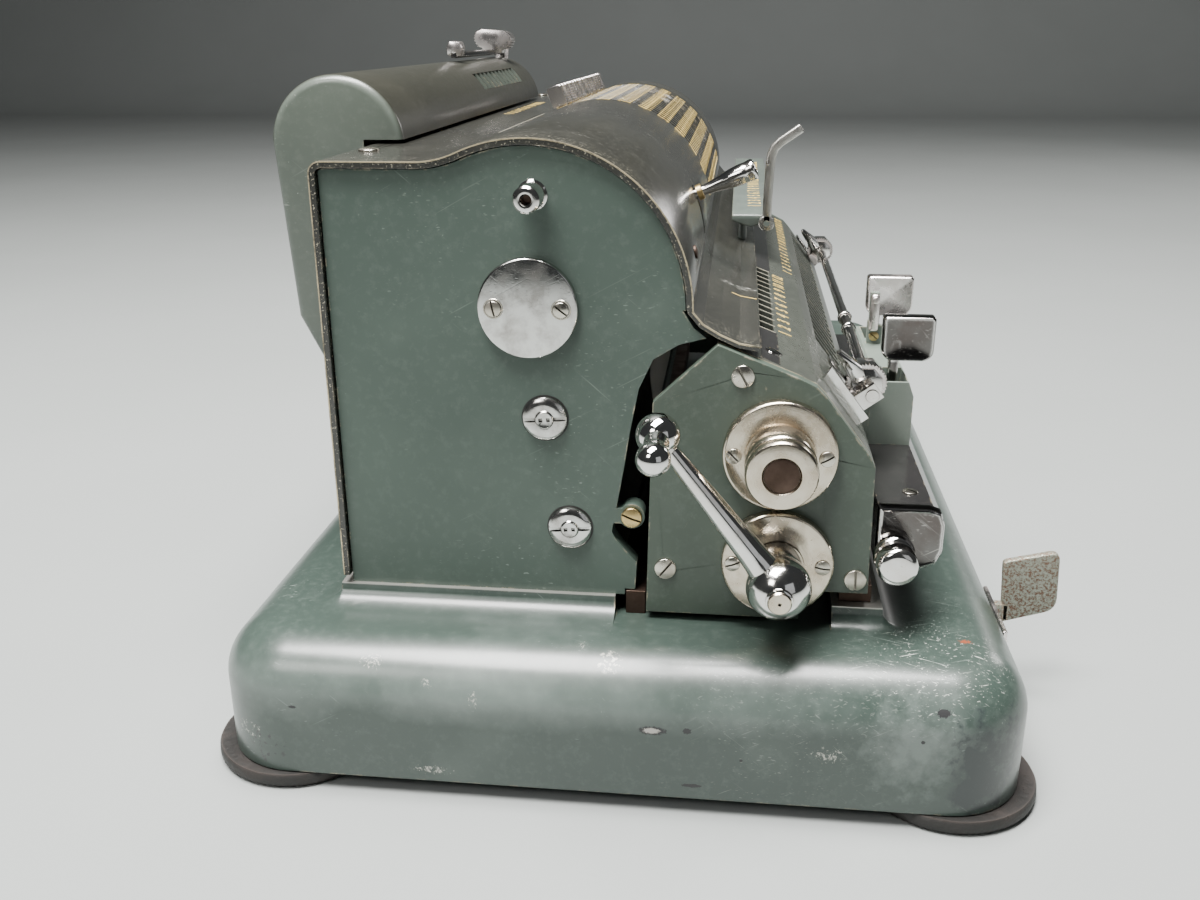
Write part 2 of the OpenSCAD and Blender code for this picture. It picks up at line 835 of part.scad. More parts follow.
module crank_grip() placed() color("#1c1c1b") {
    low = body_len + crank_arm_x + crank_arm_t + gap;
    length = crank_end - crank_cap_t - gap - low;
    turned_x(low, [drum_y, drum_z - crank_r])
        polygon([
            [crank_pin_r + fit, 0],
            [grip_r - 2.5, 0],
            [grip_r - 1, 2],
            [grip_r, length * 0.45],
            [grip_r - 0.5, length * 0.75],
            [grip_r - 2, length - 2],
            [grip_r - 3.5, length],
            [crank_pin_r + fit, length]
        ]);
}

module transfer_shaft() placed() color("#8f918e") {
    rod_x(gap, inner_plate_x + inner_plate_t + 2, transfer_at, transfer_r);
    translate([0, transfer_at[0], transfer_at[1]])
        along_x(gear_x, gear_w)
            gear2d(transfer_gear_r, angle_of(drum_at - transfer_at) + 180 / gear_teeth);
}

module check_dial_wheels() placed() color("#1f201f") {
    rod_x(
        housing_x + check_axle_in + gap,
        housing_len - 2 * (check_axle_in + gap),
        check_axle_at,
        check_axle_r
    );
    for (i = [0 : check_windows - 1])
        rod_x(check_window_x + i * column_pitch + 0.6, column_pitch - 1.2, check_axle_at, check_wheel_r);
}

module check_zero_lever() placed() color("silver") {
    x1 = housing_x + housing_len + gap;
    difference() {
        along_x(x1, zero_lever_t)
            union() {
                translate(housing_at) circle(r = zero_lever_hub_r);
                translate(housing_at) rotate(zero_lever_angle) translate([3, -3]) square([zero_lever_bar_r - 1.5, 6]);
            }
        rod_x(x1 - 1, 5, housing_at, zero_pin_r + fit);
    }
    translate([0, housing_at[0], housing_at[1]]) rotate([zero_lever_angle, 0, 0]) {
        translate([x1 - zero_bar_len, zero_lever_bar_r - 1.2, -1.2]) cube([zero_bar_len + 1, 2.2, 2.4]);
        translate([x1 - thumb_piece_x, zero_lever_bar_r - 0.4, -thumb_piece_w / 2])
            cube([10, thumb_piece_h, thumb_piece_w]);
        translate([x1 - zero_bar_len, zero_lever_bar_r - 0.4, -end_piece_w / 2])
            cube([end_piece_w, end_piece_h, end_piece_w]);
    }
}

module setting_clear_lever() placed() color("silver") {
    difference() {
        union() {
            rod_x(clearing_x - clearing_hub_w / 2, clearing_hub_w, drum_at, clearing_hub_r);
            radial(clearing_x, drum_at, clearing_angle)
                translate([0, 0, clearing_hub_r - 2]) cylinder(r = 1.6, h = hump_r - clearing_hub_r + 4);
        }
        rod_x(clearing_x - clearing_hub_w, 2 * clearing_hub_w, drum_at, shaft_r + fit);
    }
    radial(clearing_x, drum_at, clearing_angle)
        translate([0, 0, hump_r + 0.6])
            rotate_extrude()
                polygon([
                    [0, 0],
                    [2.2, 0],
                    [1.7, 2],
                    [2.3, 7],
                    [3, 12],
                    [3.2, 17],
                    [2.6, 18.2],
                    [0, clearing_reach - 0.4]
                ]);
}

module transfer_lever() placed() color("#a9a59c") {
    foot = transfer_lever_at;
    difference() {
        along_x(transfer_lever_x, transfer_lever_t - gap)
            union() {
                translate(foot) circle(r = 2.6);
                sheet2d([foot + [-11, 30.5], foot + [-1.6, 24.6], foot + [-1.6, 0]], 3);
            }
        rod_x(transfer_lever_x - 1, transfer_lever_t + 2, foot, transfer_pin_r + fit);
    }
}

module tab_lever() placed() color("#8b7d6c") {
    front = -base_w / 2;
    along_x(tab_x, tab_t) {
        polygon([[front - 3.2, 0.6], [front - 18, 4.4], [front - 19, -13.5], [front - 4.5, -18.1]]);
        translate([front - 6, tab_low]) square([6 + base_wall + 3, tab_high - tab_low]);
    }
    translate([tab_x - 2, front + base_wall + 2 * gap, tab_low - 3])
        cube([tab_t + 4, 2.4, tab_high - tab_low + 4]);
}

module carriage_plate(x0) {
    difference() {
        along_x(x0, carriage_plate_t) polygon(concat(carriage_path, carriage_underside));
        for (p = [result_at, clear_at]) rod_x(x0 - 1, carriage_plate_t + 2, p, bush_r + fit);
        rod_x(x0 - 1, carriage_plate_t + 2, counter_at, counter_shaft_r + fit);
        for (p = plate_screws_at) rod_x(x0 - 1, carriage_plate_t + 2, p, 1.2 + fit);
        for (p = [result_at, clear_at], side = [-1, 1])
            rod_x(x0 - 1, carriage_plate_t + 2, p + [side * flange_screw_at, 0], small_shank_r + fit);
    }
}

module carriage_left_plate() placed() color("#2f3d37") carriage_plate(-carriage_plate_t);

module carriage_right_plate() placed() color("#2f3d37") carriage_plate(carriage_len);

module carriage_cover() placed() color("#38423d") {
    difference() {
        along_x(0, carriage_len) sheet2d(carriage_path, carriage_sheet_t);
        for (i = [0 : counter_places - 1])
            translate([counter_x + i * column_pitch + window_bar / 2, counter_window_at[0], counter_window_at[1]])
                cube([column_pitch - window_bar, counter_window_w, 15]);
        for (i = [0 : result_places - 1])
            along_x(result_x + i * column_pitch + window_bar / 2, column_pitch - window_bar)
                polygon([slope_pt(1.6, -3), slope_pt(slope_len - 3, -3), slope_pt(slope_len - 3, 2), slope_pt(1.6, 2)]);
    }
}

module carriage_screws() placed() color("silver") {
    for (p = plate_screws_at) {
        screw_left(-carriage_plate_t, p, plate_screw_r, 1, 1.2, carriage_plate_t);
        screw_right(carriage_len + carriage_plate_t, p, plate_screw_r, 1, 1.2, carriage_plate_t);
    }
    for (p = [result_at, clear_at], side = [-1, 1]) {
        at = p + [side * flange_screw_at, 0];
        screw_left(-carriage_plate_t - flange_t, at, small_screw_r, 0.8, small_shank_r, flange_t + 2);
        screw_right(carriage_len + carriage_plate_t + flange_t, at, small_screw_r, 0.8, small_shank_r, flange_t + 2);
    }
}

// A flanged bush in a carriage end plate; side is -1 at the left end and 1 at the right
module clearing_bush(at, side) {
    x = side < 0 ? -carriage_plate_t - flange_t : carriage_len + carriage_plate_t;
    difference() {
        union() {
            rod_x(x, flange_t, at, flange_r);
            rod_x(side < 0 ? x + 1 : x - carriage_plate_t, carriage_plate_t + flange_t - 1, at, bush_r);
        }
        rod_x(x - 1, flange_t + 2, at, clear_shaft_r + fit);
        rod_x(side < 0 ? x : x - carriage_plate_t - 1, carriage_plate_t + flange_t + 1, at, clear_shaft_r + fit);
        for (s = [-1, 1])
            rod_x(x - 1, flange_t + 2, at + [s * flange_screw_at, 0], small_shank_r + fit);
    }
}

module clearing_bushings() placed() color("#b9ae8f") {
    for (p = [result_at, clear_at], side = [-1, 1]) clearing_bush(p, side);
}

module product_wheels() placed() color("#1d1e1d") {
    for (i = [0 : result_places - 1])
        difference() {
            rod_x(result_x + (i + 0.5) * column_pitch - result_wheel_w / 2, result_wheel_w, result_at, result_wheel_r);
            rod_x(result_x + i * column_pitch - 1, column_pitch + 2, result_at, clear_shaft_r + fit / 2);
        }
}

module product_shaft() placed() color("#c3b996") {
    hub_x = -carriage_plate_t - flange_t - gap - hub_len;
    difference() {
        rod_x(hub_x, hub_len, result_at, hub_r);
        rod_x(hub_x - 1, 1.6, result_at, 4.1);
    }
    rod_x(hub_x + 2, carriage_len + carriage_plate_t + flange_t - hub_x - 2 - gap, result_at, clear_shaft_r);
    translate([0, result_at[0], result_at[1]])
        along_x(3, 5) gear2d(clear_gear_r, angle_of(clear_at - result_at));
}

module counter_wheels() placed() color("#1d1e1d") {
    rod_x(gap - carriage_plate_t, carriage_len + 2 * carriage_plate_t - 2 * gap, counter_at, counter_shaft_r);
    for (i = [0 : counter_places - 1])
        rod_x(counter_x + (i + 0.5) * column_pitch - counter_wheel_w / 2, counter_wheel_w, counter_at, counter_wheel_r);
}

module clear_crank() placed() color("silver") {
    reach = norm(knob_at - clear_at);
    arm_angle = 180 - angle_of(knob_at - clear_at);
    shaft_len = carriage_len + carriage_plate_t + flange_t - gap - ball_x;
    difference() {
        union() {
            turned_x(ball_x, clear_at)
                polygon(concat(
                    [[0, -ball_r - ball_pin_over], [ball_pin_r, -ball_r - ball_pin_over]],
                    arc([0, 0], ball_r, asin(ball_pin_r / ball_r) - 90, 90 - asin(clear_shaft_r / ball_r), 12),
                    [[clear_shaft_r, shaft_len], [0, shaft_len]]
                ));
            radial(ball_x, clear_at, arm_angle)
                translate([0, 0, ball_r - 2.6]) cylinder(r1 = arm_low_r, r2 = arm_high_r, h = reach - ball_r + 1.6);
            turned_x(ball_x, knob_at) polygon(arc([0, 0], knob_big_r, -90, 90, 12));
            translate([0, clear_at[0], clear_at[1]])
                along_x(3, 5) gear2d(clear_gear_r, angle_of(result_at - clear_at) + 180 / gear_teeth);
        }
        rod_x(ball_x - knob_big_r - 1, knob_big_r + 3, knob_at, knob_pin_r + fit);
    }
}

module clear_crank_knob() placed() color("silver") {
    length = ball_x - knob_big_r - gap - knob_small_x;
    turned_x(knob_small_x, knob_at)
        polygon(concat(
            arc([0, 0], knob_small_r, -90, 50, 10),
            [[knob_neck_r, length], [knob_pin_r, length], [knob_pin_r, length + 5], [0, length + 5]]
        ));
}

module pointer_rail() placed() color("silver") {
    rod_x(rail_x, rail_len, slope_pt(rail_s, rail_n), rail_r);
    for (x = [rail_x + 0.5, rail_x + rail_len - bracket_t])
        along_x(x, bracket_t)
            polygon([
                slope_pt(rail_low_s, fit),
                slope_pt(rail_s + 2, fit),
                slope_pt(rail_s + 2, rail_high_n),
                slope_pt(rail_low_s, rail_high_n)
            ]);
    along_x(bracket_x, bracket_t)
        polygon([
            slope_pt(0, fit),
            slope_pt(bracket_wall_s[1], fit),
            slope_pt(bracket_wall_s[1], bracket_wall_n),
            slope_pt(bracket_wall_s[0], bracket_wall_n)
        ]);
    along_x(bracket_x, bracket_reach)
        polygon([
            slope_pt(rail_low_s - 4, fit),
            slope_pt(bracket_wall_s[1], fit),
            slope_pt(bracket_wall_s[1], pointer_plate_t),
            slope_pt(rail_low_s - 4, pointer_plate_t)
        ]);
}

module pointer(x0) {
    difference() {
        union() {
            rod_x(
                x0 + pointer_finger_w,
                pointer_w - pointer_finger_w,
                slope_pt(pointer_knob_s, pointer_knob_n),
                pointer_knob_r
            );
            along_x(x0, pointer_finger_w + 1)
                polygon([
                    slope_pt(1.2, 4.5),
                    slope_pt(9.7, 3.3),
                    slope_pt(10.5, 5.5),
                    slope_pt(10.5, 7.6),
                    slope_pt(7.2, 8),
                    slope_pt(1.2, 6)
                ]);
            along_x(x0 + pointer_finger_w, pointer_w - pointer_finger_w - 1)
                polygon([
                    slope_pt(3, pointer_plate_n),
                    slope_pt(pointer_knob_s, pointer_plate_n),
                    slope_pt(pointer_knob_s, pointer_plate_n + pointer_plate_t),
                    slope_pt(3, pointer_plate_n + pointer_plate_t)
                ]);
        }
        rod_x(x0 - 1, pointer_w + 2, slope_pt(rail_s, rail_n), rail_r + fit);
    }
}

module near_pointer() placed() color("silver") pointer(near_pointer_x);

module far_pointer() placed() color("silver") pointer(far_pointer_x);

module front_bar() placed() color("#232524") {
    difference() {
        union() {
            along_x(bar_x, bar_len)
                polygon([
                    [bar_back, bar_bottom],
                    [bar_front + 3, bar_bottom],
                    [bar_front, bar_bottom + 3],
                    [bar_front, bar_top - 2],
                    [bar_front + 2, bar_top],
                    [bar_back, bar_top]
                ]);
            for (x = [16, 142]) translate([x, bar_back - 1, bar_bottom + 2]) cube([14, 2.7, 9]);
        }
        rod_x(bar_x - 1, 14, bar_knob_at, bar_pin_r + fit);
    }
}

module key_housing() placed() color("#4a564f") {
    difference() {
        along_x(near_key_x - key_box_over, far_key_x - near_key_x + 2 * key_box_over)
            polygon([
                [housing_back + 2, bar_top],
                [housing_front, bar_top],
                [housing_front, key_box_top - 4],
                [housing_front + 1.5, key_box_top],
                [housing_back + 0.4, key_box_top],
                [housing_back + 2, key_box_top - 1.6]
            ]);
        for (x = [near_key_x, far_key_x]) {
            translate([x - key_pocket_w / 2, housing_front + 1.8, bar_top + 1.5])
                cube([key_pocket_w, housing_back - housing_front - 2.6, 30]);
            translate([x, housing_front + 0.6, key_pivot_z])
                rotate([-90, 0, 0]) cylinder(r = key_pin_r + fit, h = housing_back - housing_front + 1);
        }
    }
    along_x(key_plate_x, key_plate_t)
        polygon([
            [key_plate_front, key_box_top - 1],
            [key_plate_back, key_box_top - 1],
            [key_plate_back, key_plate_top],
            [key_plate_front, key_plate_top - 2]
        ]);
    translate([key_plate_x - key_post_w / 2, key_post_y - key_post_w / 2, key_box_top + 4])
        cube([key_post_w, key_post_w, key_post_top - key_box_top - 4]);
}

// A shift key on a cross pin, with its finger plate above and in front of the housing
module shift_key(x, cap_front, cap_low) {
    stem_back = housing_back - 2.2;
    stem_front = housing_front + 3;
    translate([x, stem_front - 2.2, key_pivot_z])
        rotate([-90, 0, 0]) cylinder(r = key_pin_r, h = stem_back - stem_front + 4.6);
    translate([x, stem_front, key_pivot_z])
        rotate([-90, 0, 0]) cylinder(r = key_boss_r, h = stem_back - stem_front);
    translate([x - key_stem_w / 2, stem_front + 1, key_pivot_z])
        cube([key_stem_w, stem_back - stem_front - 2, cap_low + 3 - key_pivot_z]);
    translate([0, cap_front + key_cap_w / 2, cap_low + key_cap_h / 2])
        along_x(x - key_cap_t / 2, key_cap_t) polygon(rounded(key_cap_w, key_cap_h, key_cap_corner_r));
}

module near_shift_key() placed() color("silver") shift_key(near_key_x, near_key_at[0], near_key_at[1]);

module far_shift_key() placed() color("silver") shift_key(far_key_x, far_key_at[0], far_key_at[1]);

module bar_knob() placed() color("silver") {
    rod_x(bar_x - gap - bar_knob_len, bar_knob_len, bar_knob_at, bar_knob_r);
    rod_x(bar_x - gap - 1, 12, bar_knob_at, bar_pin_r);
}

base_casting();
rubber_feet();
left_side_plate();
right_side_plate();
inner_frame_plate();
top_cover();
frame_tie_rods();
check_dial_housing();
bearing_caps();
body_screws();
locating_stud();
carriage_rails();
scale_block();
tab_slot_plate();
main_shaft();
pinwheel_drum();
crank_arm();
crank_grip();
transfer_shaft();
check_dial_wheels();
check_zero_lever();
setting_clear_lever();
transfer_lever();
tab_lever();
carriage_left_plate();
carriage_right_plate();
carriage_cover();
carriage_screws();
clearing_bushings();
product_wheels();
product_shaft();
counter_wheels();
clear_crank();
clear_crank_knob();
pointer_rail();
near_pointer();
far_pointer();
front_bar();
key_housing();
near_shift_key();
far_shift_key();
bar_knob();
for (i = [1 : columns]) setting_lever(i);
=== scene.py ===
import functools
import math
import bmesh
import bpy
from mathutils import Matrix, Vector


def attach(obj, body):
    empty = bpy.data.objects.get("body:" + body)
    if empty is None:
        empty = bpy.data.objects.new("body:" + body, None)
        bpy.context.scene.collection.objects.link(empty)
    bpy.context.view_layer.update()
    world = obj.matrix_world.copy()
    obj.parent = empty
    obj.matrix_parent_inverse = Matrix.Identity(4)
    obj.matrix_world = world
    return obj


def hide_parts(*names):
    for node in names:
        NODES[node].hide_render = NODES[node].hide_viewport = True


# The looks of the calculating machine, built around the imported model.
# Sizes are millimetres in the drawing frame: x = 0 is the left side plate's outer face,
# y = 0 the middle of the base and z = 0 the flat top of the base.

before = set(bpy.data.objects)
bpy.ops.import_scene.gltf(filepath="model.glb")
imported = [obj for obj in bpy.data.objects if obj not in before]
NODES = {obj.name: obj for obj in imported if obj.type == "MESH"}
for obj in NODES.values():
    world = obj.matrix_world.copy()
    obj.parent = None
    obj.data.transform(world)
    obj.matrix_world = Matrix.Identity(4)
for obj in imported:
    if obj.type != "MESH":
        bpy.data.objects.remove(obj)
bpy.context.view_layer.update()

MM = 0.001
SHIFT = (-162.6, 7.15, 38.0)
TO_ROW = Matrix.Scale(MM, 4) @ Matrix.Translation(SHIFT)

# Axes along X, as (y, z)
DRUM = (21.2, 78.6)
HOUSING = (78.8, 111.2)
CHECK_AXLE = (76.2, 118.8)
RESULT = (-38.5, 45.6)
CLEAR = (-39.1, 17.8)
COUNTER = (-33.0, 61.1)
KNOB = (-10.7, 54.2)
STUD = (19.6, 104.5)
SPANNER_CAPS = ((17.8, 51.5), (12.1, 23.0))

BASE_H = 34.0
HUMP_R = 38.6
DECK_Z = 111.8
DIP = (46.6, 135.8)
DIP_R = 24.0
COLUMNS = 18
FIRST_COLUMN_X = 150.0
PITCH = 6.6
DIGIT_STEP = 11.0
LEVER_ZERO = 111.5
WINDOWS_X = 155.0
HOUSING_NEAR = 41.0
HOUSING_FAR = 256.0
BODY_RIGHT = 309.0
CARRIAGE_RIGHT = 248.0
CARRIAGE_NUMBERS_X = 32.0
BALL_X = -17.5
SLOPE_TOP = Vector((-48.6, 59.6))
SLOPE_DIR = (Vector((-59.6, 45.2)) - SLOPE_TOP).normalized()
FACET = ((-23.3, 71.4), (-41.8, 64.1), (-46.4, 61.9))
APRON = ((-17.2, 78.8), (-19.7, 75.9), (-23.6, 73.6), (-28.2, 71.6), (-32.9, 70.8))


class Value:
    """A value in a shader's graph; sums, products and the larger of two (a | b) are math nodes."""

    def __init__(self, shader, socket):
        self.shader = shader
        self.socket = socket

    def __add__(self, other):
        return self.shader.math("ADD", self, other)

    def __sub__(self, other):
        return self.shader.math("SUBTRACT", self, other)

    def __rsub__(self, other):
        return self.shader.math("SUBTRACT", other, self)

    def __mul__(self, other):
        return self.shader.math("MULTIPLY", self, other)

    def __or__(self, other):
        return self.shader.math("MAXIMUM", self, other)

    def level(self, low, high, out_low=0.0, out_high=1.0):
        """The value stretched from low..high to out_low..out_high and held between them."""
        inputs = {"Value": self, "From Min": low, "From Max": high, "To Min": out_low, "To Max": out_high}
        return self.shader.node("MapRange", "Result", inputs, clamp=True)


def most(values):
    """The largest of several values at each point."""
    return functools.reduce(lambda a, b: a | b, values)


def shade(colour, factor, lift=0.0):
    """A colour made lighter or darker."""
    return tuple(min(1.0, c * factor + lift) for c in colour)


class Shader:
    """A procedural material under construction; its coordinates are metres in the object's own frame."""

    def __init__(self, name):
        self.mat = bpy.data.materials.new(name)
        self.mat.use_nodes = True
        self.tree = self.mat.node_tree
        self.bsdf = self.tree.nodes["Principled BSDF"]
        self.where = self.node("TexCoord", "Object")

    def node(self, kind, output, inputs=None, **settings):
        """Adds a node with these inputs, by name or number, and gives one of its outputs."""
        made = self.tree.nodes.new("ShaderNode" + kind)
        for key, value in settings.items():
            setattr(made, key, value)
        for key, value in (inputs or {}).items():
            self.put(made.inputs[key], value)
        return Value(self, made.outputs[output])

    def put(self, socket, value):
        if isinstance(value, Value):
            self.tree.links.new(value.socket, socket)
        elif isinstance(value, tuple) and len(value) == 3 and len(socket.default_value) == 4:
            socket.default_value = (*value, 1.0)
        else:
            socket.default_value = value

    def mapped(self, where, **inputs):
        """Coordinates after a move, turn or stretch."""
        return self.node("Mapping", "Vector", {"Vector": where, **inputs})

    def noise(self, scale, detail=4.0, rough=0.55, stretch=None, turn=None, shift=None):
        where = self.where
        if turn:
            where = self.mapped(where, Rotation=turn)
        if stretch or shift:
            where = self.mapped(where, Scale=stretch or (1, 1, 1), Location=shift or (0, 0, 0))
        inputs = {"Vector": where, "Scale": scale, "Detail": detail, "Roughness": rough}
        return self.node("TexNoise", "Fac", inputs)

    def math(self, operation, a, b=0.0):
        return self.node("Math", 0, {0: a, 1: b}, operation=operation)

    def vector_math(self, operation, output, *values):
        return self.node("VectorMath", output, dict(enumerate(values)), operation=operation)

    def mix(self, fac, a, b):
        """A number between a and b."""
        return self.node("Mix", 0, {0: fac, 2: a, 3: b}, data_type="FLOAT")

    def blend(self, fac, a, b, kind="MIX"):
        """A colour between a and b."""
        return self.node("Mix", 2, {0: fac, 6: a, 7: b}, data_type="RGBA", blend_type=kind)

    def axis(self, number, kind="Object"):
        """One coordinate of the object's own frame, or of its normal."""
        return self.node("SeparateXYZ", number, {"Vector": self.node("TexCoord", kind)})

    def edge(self, radius):
        """1 along convex and concave edges, 0 on open faces."""
        soft = self.node("Bevel", "Normal", {"Radius": radius}, samples=6)
        true = self.node("NewGeometry", "Normal")
        return self.vector_math("DOT_PRODUCT", "Value", soft, true).level(0.995, 0.93)

    def patch(self, point, radius, ragged=0.35, squash=(1.0, 1.0, 1.0), soft=0.25):
        """1 inside a ragged spot round a point of the drawing frame, 0 outside."""
        size = radius * MM
        off = self.vector_math("SUBTRACT", "Vector", self.where, TO_ROW @ Vector(point))
        off = self.vector_math("MULTIPLY", "Vector", off, tuple(1.0 / (size * k) for k in squash))
        away = self.vector_math("LENGTH", "Value", off)
        away += self.noise(2.2 / size, 4.0, 0.6).level(0.25, 0.75, -ragged, ragged)
        return away.level(1.0 + soft, 1.0 - soft)

    def patches(self, rows, ragged, soft):
        """Patches from rows of x, y, z, radius and the stretch along y and z."""
        return most(self.patch(row[:3], row[3], ragged, (1.0, *row[4:]), soft) for row in rows)

    def scratches(self, scale, low, high, length=0.05):
        """Thin straight marks in four directions, all of them near the Y axis."""
        directions = (
            ((0.0, 0.0, 1.2), 0.0),
            ((0.0, 0.0, 1.95), 3.1),
            ((0.5, 0.0, 1.57), 7.7),
            ((-0.7, 0.0, 1.57), 5.3),
        )
        return most(self.noise(scale, 2.0, 0.4, (length, 1.6, 1.6), turn, (shift, 0, 0)).level(low, high)
                    for turn, shift in directions)

    def bump(self, height, strength, distance):
        inputs = {"Height": height, "Strength": strength, "Distance": distance}
        self.put(self.bsdf.inputs["Normal"], self.node("Bump", "Normal", inputs))

    def finish(self, colour, rough, metallic=0.0, coat=0.0, coat_rough=0.15):
        self.put(self.bsdf.inputs["Base Color"], colour)
        self.put(self.bsdf.inputs["Roughness"], rough)
        self.put(self.bsdf.inputs["Metallic"], metallic)
        self.bsdf.inputs["Coat Weight"].default_value = coat
        self.bsdf.inputs["Coat Roughness"].default_value = coat_rough
        self.bsdf.inputs["Specular IOR Level"].default_value = 0.5
        return self.mat


BARE = (0.42, 0.36, 0.26)


def enamel(name, colour, dark, light, rough=0.4, edge_r=0.0007, edge_wear=0.3, marks=0.2, specks=0.25,
           clouds=16.0, coat=0.1, dust=0.2, wear_and_painted_light=None):
    """Old stove enamel: cloudy tone, fine grain, scratches, dust smudges and metal worn bare along the edges.
    """
    s = Shader(name)
    cloud = s.noise(clouds, 4.0, 0.6)
    grain = s.noise(420.0, 5.0, 0.7)
    tone = s.blend(cloud.level(0.33, 0.68), dark, colour)
    tone = s.blend(grain.level(0.5, 0.8) * 0.25, tone, light)
    smudge = s.noise(45.0, 3.0, 0.5, shift=(4.0, 2.0, 1.0))
    tone = s.blend(smudge.level(0.55, 0.8) * dust, tone, light)
    patchy = s.noise(24.0, 3.0, 0.6, shift=(9.0, 1.0, 5.0)).level(0.5, 0.66)
    dots = s.noise(1100.0, 2.0, 0.5).level(0.735, 0.77)
    lines = s.scratches(900.0, 0.70, 0.78) * (patchy * marks) | dots * (patchy * specks)
    tone = s.blend(lines, tone, shade(light, 2.4, 0.12))
    worn = s.noise(260.0, 4.0, 0.7, shift=(1.0, 8.0, 3.0))
    worn = worn.level(0.62 - 0.32 * edge_wear, 0.72 - 0.32 * edge_wear)
    wear = s.edge(edge_r) * worn * min(1.0, edge_wear + 0.2)
    tone = s.blend(wear, tone, s.blend(grain.level(0.4, 0.6), BARE, shade(BARE, 1.6)))
    height = grain * 0.2 + s.noise(70.0, 3.0) * 0.6 - lines * 0.7
    shine = s.mix(cloud, rough + 0.06, rough - 0.06) + grain.level(0.4, 0.7) * 0.06
    bare = wear * 0.85
    # Extra marks from the caller: real wear, and on the base and the housing also painted sheen and shade.
    if wear_and_painted_light:
        tone, shine, height, bare = wear_and_painted_light(s, tone, shine, height, bare)
    s.bump(height, 0.3, 0.00022)
    return s.finish(tone, shine, bare, coat, 0.2)


# Chips and rubbed spots of the base: x, y, z, radius and the stretch along y and z
CHIPS = (
    (-29.2, -10.9, -15.4, 1.45, 2.2, 0.8), (-29.2, -19.1, -14.9, 1.0, 1.0, 0.8),
    (-27.4, -77.3, -7.2, 1.1, 1.4, 0.9), (-26.9, -90.7, -6.4, 1.0, 1.5, 0.8),
    (-27.1, -86.8, -6.7, 0.7, 1.0, 1.0), (-28.9, -88.5, -11.5, 0.8, 0.8, 1.3),
    (-28.4, -88.7, -9.0, 0.6, 0.5, 2.0), (-28.9, -85.6, -10.5, 0.45, 0.8, 1.6),
    (-29.2, -73.0, -14.0, 0.45, 1.0, 1.0), (-29.2, 77.0, -15.0, 0.7, 1.4, 0.6),
    (-29.2, -31.9, -22.1, 0.4, 1.0, 1.0), (-29.2, -20.5, -30.0, 1.0, 2.4, 0.5),
)
RUBBED = (
    (-26.5, 98.0, -6.5, 3.0, 1.6, 0.7), (-28.9, 93.0, -24.0, 3.4, 1.4, 0.8),
    (-27.3, 43.6, -7.2, 0.9, 1.2, 0.8), (-28.6, 32.0, -10.5, 1.2, 0.7, 1.5),
    (-17.5, 7.0, -0.4, 0.9, 1.2, 1.0), (-28.8, 43.0, -30.5, 1.6, 2.2, 0.5),
    (-24.6, 58.0, -4.0, 1.4, 1.6, 1.0), (-28.9, -52.0, -19.0, 1.8, 1.5, 0.8),
)


def base_marks(s, tone, shine, height, bare):
    """The casting's own wear: dents, chips, hair scratches and stains near its front left corner, and a
    painted sheen band along the near end's rounded edge.
    """
    speck = s.noise(900.0, 3.0, 0.6).level(0.52, 0.60)
    tone = s.blend(s.patch((-22.0, -0.2, -1.8), 2.7) * speck, tone, (0.62, 0.60, 0.52))
    hair = s.scratches(1300.0, 0.69, 0.74, 0.08)
    zone = s.patch((-14.0, -78.0, 0.0), 15.0, 0.5) * 0.75 | s.patch((-27.0, -45.0, -7.0), 26.0, 0.6) * 0.15
    tone = s.blend(hair * zone, tone, (0.50, 0.53, 0.48))
    # A soft pale haze near the front corner, and a long pale band along the near end's rounded edge that is a
    # painted sheen.
    haze_and_sheen = s.patch((-29.2, -72.0, -15.0), 8.0, 0.8, soft=0.8)
    haze_and_sheen |= s.patch((-29.0, 30.0, -9.0), 60.0, 0.9, (1.0, 1.0, 0.08), 0.9)
    tone = s.blend(haze_and_sheen * 0.22, tone, (0.40, 0.46, 0.43))
    stain = s.patches(((-28.8, -87.5, -23.5, 8.0, 0.85, 1.4), (-26.0, -95.0, -17.0, 5.0, 0.7, 1.8)), 0.9, 0.3)
    tone = s.blend(stain * 0.95, tone, (0.014, 0.020, 0.020))
    chips = s.patches(CHIPS, 0.3, 0.12)
    tone = s.blend(chips, tone, (0.012, 0.012, 0.013))
    tone = s.blend(s.patch((-29.2, -10.7, -15.4), 0.85, 0.4, (1.0, 2.2, 0.8), 0.2), tone, (0.36, 0.34, 0.31))
    tone = s.blend(s.patch((-6.5, -84.9, 0.0), 0.8, 0.9, (1.0, 1.6, 1.0)), tone, (0.20, 0.05, 0.02))
    crumbs = s.noise(1400.0, 4.0, 0.7).level(0.52, 0.60)
    tone = s.blend(s.patches(RUBBED, 1.1, 0.3) * crumbs * 0.7, tone, (0.50, 0.50, 0.44))
    freckles = s.patch((-29.2, 86.0, -27.0), 5.0, 0.6) * s.noise(700.0, 3.0).level(0.6, 0.64)
    tone = s.blend(freckles, tone, (0.02, 0.02, 0.02))
    seat = s.axis(2).level(0.0426, 0.0429)
    tone = s.blend(seat, tone, (0.55, 0.54, 0.50))
    shine = s.mix(seat, s.mix(chips, shine, 0.6), 0.32)
    return tone, shine, height - chips * 0.8, bare | seat * 0.8


def cover_marks(s, tone, shine, height, bare):
    """Rubbed streaks beside the index mark and freckles along the hump's near edge."""
    streaks = s.noise(900.0, 4.0, 0.7, (2.0, 0.5, 0.5)).level(0.52, 0.62)
    rub = s.patch((59.5, -27.5, 72.4), 4.0, 0.5, (0.6, 1.3, 1.0)) * streaks
    tone = s.blend(rub, tone, (0.40, 0.40, 0.36))
    dots = s.noise(1500.0, 3.0, 0.6).level(0.60, 0.66) * s.axis(0).level(-0.150, -0.164)
    return s.blend(dots * 0.55, tone, (0.42, 0.39, 0.30)), shine, height, bare


